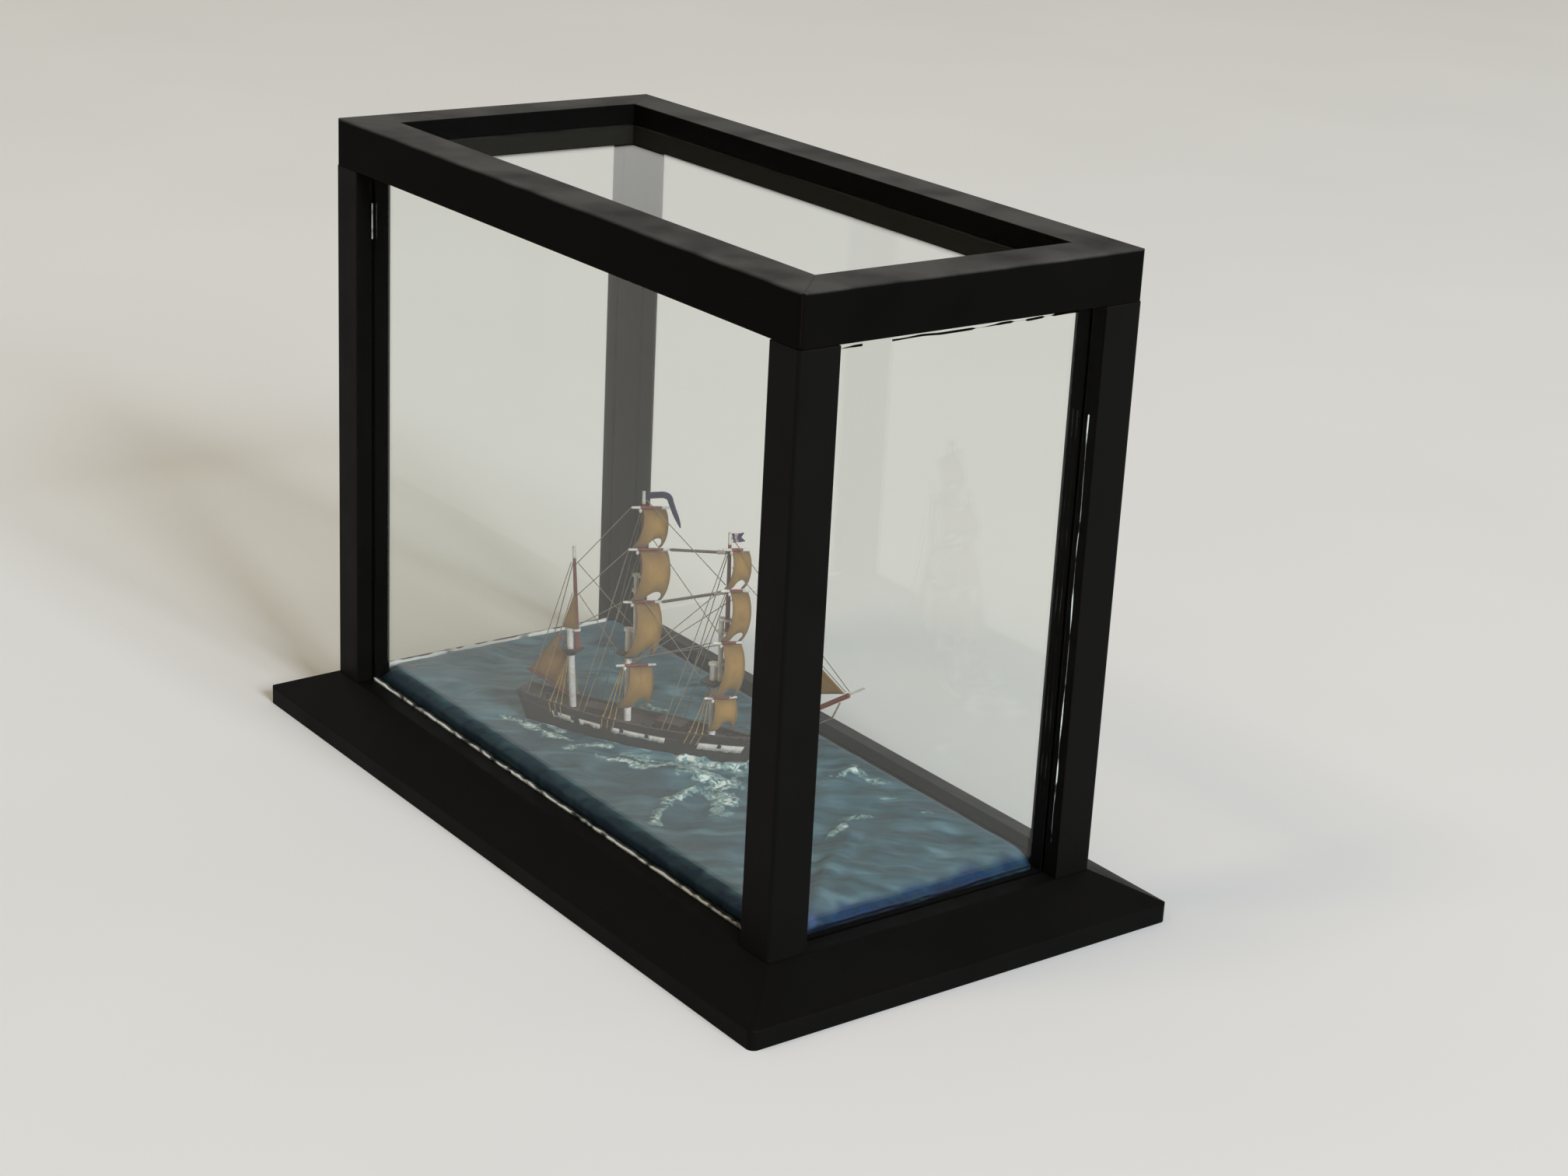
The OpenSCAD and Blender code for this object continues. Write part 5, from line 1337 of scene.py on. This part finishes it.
class SHIPCASE_OT_rigging(bpy.types.Operator):
    """Set up the shrouds, stays, braces and heavy lines"""

    bl_idname = "shipcase.rigging"
    bl_label = "Rigging"

    # A line's points are 0.9 mm apart, or its diameter. Thread is drawn a fifth thicker than it is, so that it shows.
    STEP, THICKER = 0.9, 1.2
    DEADEYE_R, DEADEYE_UP = 0.45, 0.5
    # White end of a heavy line: share of its length, and how much thicker it is
    WHIPPED, WHIP_THICKER = 0.16, 1.3
    # Martingale: how far in from the bowsprit's end its striker stands, and how the striker runs
    STRIKER_IN, STRIKER_RUN = 4, at(-3, 0, -7)
    # Lashings: how far they stand out from the side, and the share of its height that they go down to
    LASH_OUT, LASH_FOOT = 0.35, 0.62
    # Stays from one mast down to the next ahead: the masts and the height on each
    STAYS = (
        (MAIN, TRUCK_Z[MAIN] - 3, FORE, YARD_Z[FORE][TOPGALLANT] + 1.6),
        (MAIN, YARD_Z[MAIN][ROYAL] - 9, FORE, LOWER_Z[FORE][2] - 0.6),
        (MAIN, LOWER_Z[MAIN][2] - 0.6, FORE, LOWER_Z[FORE][0] - 3.5),
        (MIZZEN, TRUCK_Z[MIZZEN] - 6, MAIN, LOWER_Z[MAIN][1] + 1.2),
        (MIZZEN, TRUCK_Z[MIZZEN] - 18.5, MAIN, LOWER_Z[MAIN][0] - 4),
    )
    # Backstays: mast, how far under its truck, and x at the rail
    BACKSTAYS = (
        (MIZZEN, 6, 5 - STERN_X),
        (MIZZEN, 18.5, 11 - STERN_X),
        (FORE, 8, MAST_X[FORE] - 18),
        (FORE, 24, MAST_X[FORE] - 15.5),
        (MAIN, 8, MAST_X[MAIN] - 18),
        (MAIN, 24, MAST_X[MAIN] - 15.5),
    )
    # Heavy lines: main yard, and the height on the fore mast
    HEAVY = ((TOPGALLANT, YARD_Z[FORE][ROYAL] - 1.8), (TOPSAIL, YARD_Z[FORE][TOPGALLANT] - 1.2))
    # Braces: mast, yard, side, and the height on the mast next abaft
    BRACES = (
        (MAIN, ROYAL, STARBOARD, TRUCK_Z[MIZZEN] - 7),
        (MAIN, TOPGALLANT, STARBOARD, TRUCK_Z[MIZZEN] - 19.5),
        (MAIN, TOPSAIL, STARBOARD, LOWER_Z[MIZZEN][1] + 1.5),
        (FORE, TOPGALLANT, STARBOARD, LOWER_Z[MAIN][0] - 4.6),
        (FORE, TOPSAIL, STARBOARD, LOWER_Z[MAIN][0] - 2.4),
        (FORE, TOPGALLANT, PORT, LOWER_Z[MAIN][0] - 4.6),
        (FORE, TOPSAIL, PORT, LOWER_Z[MAIN][0] - 2.4),
    )

    def execute(self, context):
        look = context.scene.shipcase_ship
        thread = thread_of("waxed_thread", look.thread)
        ochre = thread_of("ochre_thread", look.shroud)
        olive = thread_of("olive_cord", look.heavy_line)
        white = painted_wood("whipped_cord_ends", look.mast, 0.6, dark=0.66, spread=0.9, roughness=0.7)
        shrouds, lanyards = zip(*self.shrouds())
        gang = [self.line(*ends) for ends in shrouds]
        up = at(0, 0, self.DEADEYE_UP)
        gang += [solid(aboard(egg(foot + up, self.DEADEYE_R, self.DEADEYE_R, 8, 7))) for _, foot in shrouds]
        gang += [self.line(*ends) for ends in lanyards]
        piece("shroud_gang", gang, [ochre], ["shrouds"])
        piece("stay_gang", [self.line(*stay) for stay in self.stays()], [thread], ["stays"])
        heavy = [(yard_arm(MAIN, k, PORT) + OFF_YARD, hitch(FORE, z, -1, 0)) for k, z in self.HEAVY]
        gang = [self.line(a, b, HEAVY_ROPE_D) for a, b in heavy]
        whip_d = HEAVY_ROPE_D * self.WHIP_THICKER
        gang += [self.line(b, b + self.WHIPPED * (a - b), whip_d, 1) for a, b in heavy]
        for m, k, side, z in self.BRACES:
            gang.append(self.line(yard_arm(m, k, side) - OFF_YARD, hitch(m + 1, z, 1, side), ROPE_D, 2))
        piece("brace_gang", gang, [olive, white, thread], ["braces"])
        return {"FINISHED"}

    def line(self, a, b, diameter=ROPE_D, material=0):
        """Taut laid line from a to b: two plies, turning once in four diameters."""
        steps = int(np.linalg.norm(b - a) / max(self.STEP, diameter)) + 3
        path = aboard(np.linspace(a, b, steps))
        return solid(tube(path, diameter / 2 * self.THICKER, 8, 2, 4 * diameter), material)

    def shrouds(self):
        """Three shrouds a side to each mast, from under its top to the rail abaft it, and each one's lashing below."""
        for m, side, i in product(MASTS, SIDES, range(3)):
            # Each is made fast lower on the mast and further round it than the one ahead
            x = MAST_X[m] - 1.5 - i * SHROUD_STEP
            head = hitch(m, LOWER_Z[m][0] - 2.2 - 0.6 * i, -0.2 - 0.5 * i, side)
            above = planking(station(x), 1.0, side, self.LASH_OUT)
            below = planking(station(x - 0.4), self.LASH_FOOT, side, self.LASH_OUT)
            yield (head, rail_point(x, side)), (above, below)

    def stays(self):
        """Stays in the middle plane, with the martingale under the bowsprit, and backstays to the rail."""
        end = bowsprit_point(BOWSPRIT_LENGTH) + at(0.3, 0, BOWSPRIT_R + 0.5)
        under = BOWSPRIT_R / math.cos(math.radians(STEEVE)) + ROPE_D + RIG_GAP * 2
        striker = bowsprit_point(BOWSPRIT_LENGTH - self.STRIKER_IN) - at(0, 0, under)
        striker_end = striker + self.STRIKER_RUN
        yield hitch(FORE, TRUCK_Z[FORE] - 1.5, 1, -0.6), end
        yield JIB_STAY_TOP, JIB_TACK
        yield striker, striker_end, 2 * ROPE_D
        yield striker_end + at(-0.3, 0, -0.1), at(STEM_X + RIG_GAP, 0, rail_at(1.0) - 2)
        for aft, high, ahead, low in self.STAYS:
            yield hitch(aft, high, 1, 0), hitch(ahead, low, -1, 0)
        for side, (m, under, x) in product(SIDES, self.BACKSTAYS):
            yield hitch(m, TRUCK_Z[m] - under, -1, side), rail_point(x, side)


GROUPS = {
    "shipcase_case": SHIPCASE_PG_case,
    "shipcase_sea": SHIPCASE_PG_sea,
    "shipcase_ship": SHIPCASE_PG_ship,
    "shipcase_stage": SHIPCASE_PG_stage,
}
OPERATORS = (
    SHIPCASE_OT_stage,
    SHIPCASE_OT_case,
    SHIPCASE_OT_glazing,
    SHIPCASE_OT_sea,
    SHIPCASE_OT_hull,
    SHIPCASE_OT_spars,
    SHIPCASE_OT_square_sails,
    SHIPCASE_OT_fore_and_aft_sails,
    SHIPCASE_OT_flags,
    SHIPCASE_OT_rigging,
)


class SHIPCASE_PT_panel(bpy.types.Panel):
    """Lists the pieces of the cased ship and their settings"""

    bl_idname = "SHIPCASE_PT_panel"
    bl_label = "Cased ship"
    bl_space_type = "VIEW_3D"
    bl_region_type = "UI"
    bl_category = "Ship case"

    def draw(self, context):
        for operator in OPERATORS:
            self.layout.operator(operator.bl_idname)
        for name, group in GROUPS.items():
            box = self.layout.box()
            for key in group.__annotations__:
                box.prop(getattr(context.scene, name), key)


def register():
    for group in GROUPS.values():
        bpy.utils.register_class(group)
    for name, group in GROUPS.items():
        setattr(bpy.types.Scene, name, PointerProperty(type=group))
    for operator in OPERATORS:
        bpy.utils.register_class(operator)
    bpy.utils.register_class(SHIPCASE_PT_panel)


def unregister():
    bpy.utils.unregister_class(SHIPCASE_PT_panel)
    for operator in reversed(OPERATORS):
        bpy.utils.unregister_class(operator)
    for name, group in GROUPS.items():
        delattr(bpy.types.Scene, name)
        bpy.utils.unregister_class(group)


def main():
    """Builds the whole scene."""
    register()
    bpy.ops.shipcase.stage()
    bpy.ops.shipcase.case()
    bpy.ops.shipcase.glazing()
    bpy.ops.shipcase.sea()
    bpy.ops.shipcase.hull()
    bpy.ops.shipcase.spars()
    bpy.ops.shipcase.square_sails()
    bpy.ops.shipcase.fore_and_aft_sails()
    bpy.ops.shipcase.flags()
    bpy.ops.shipcase.rigging()


if __name__ == "__main__":
    main()
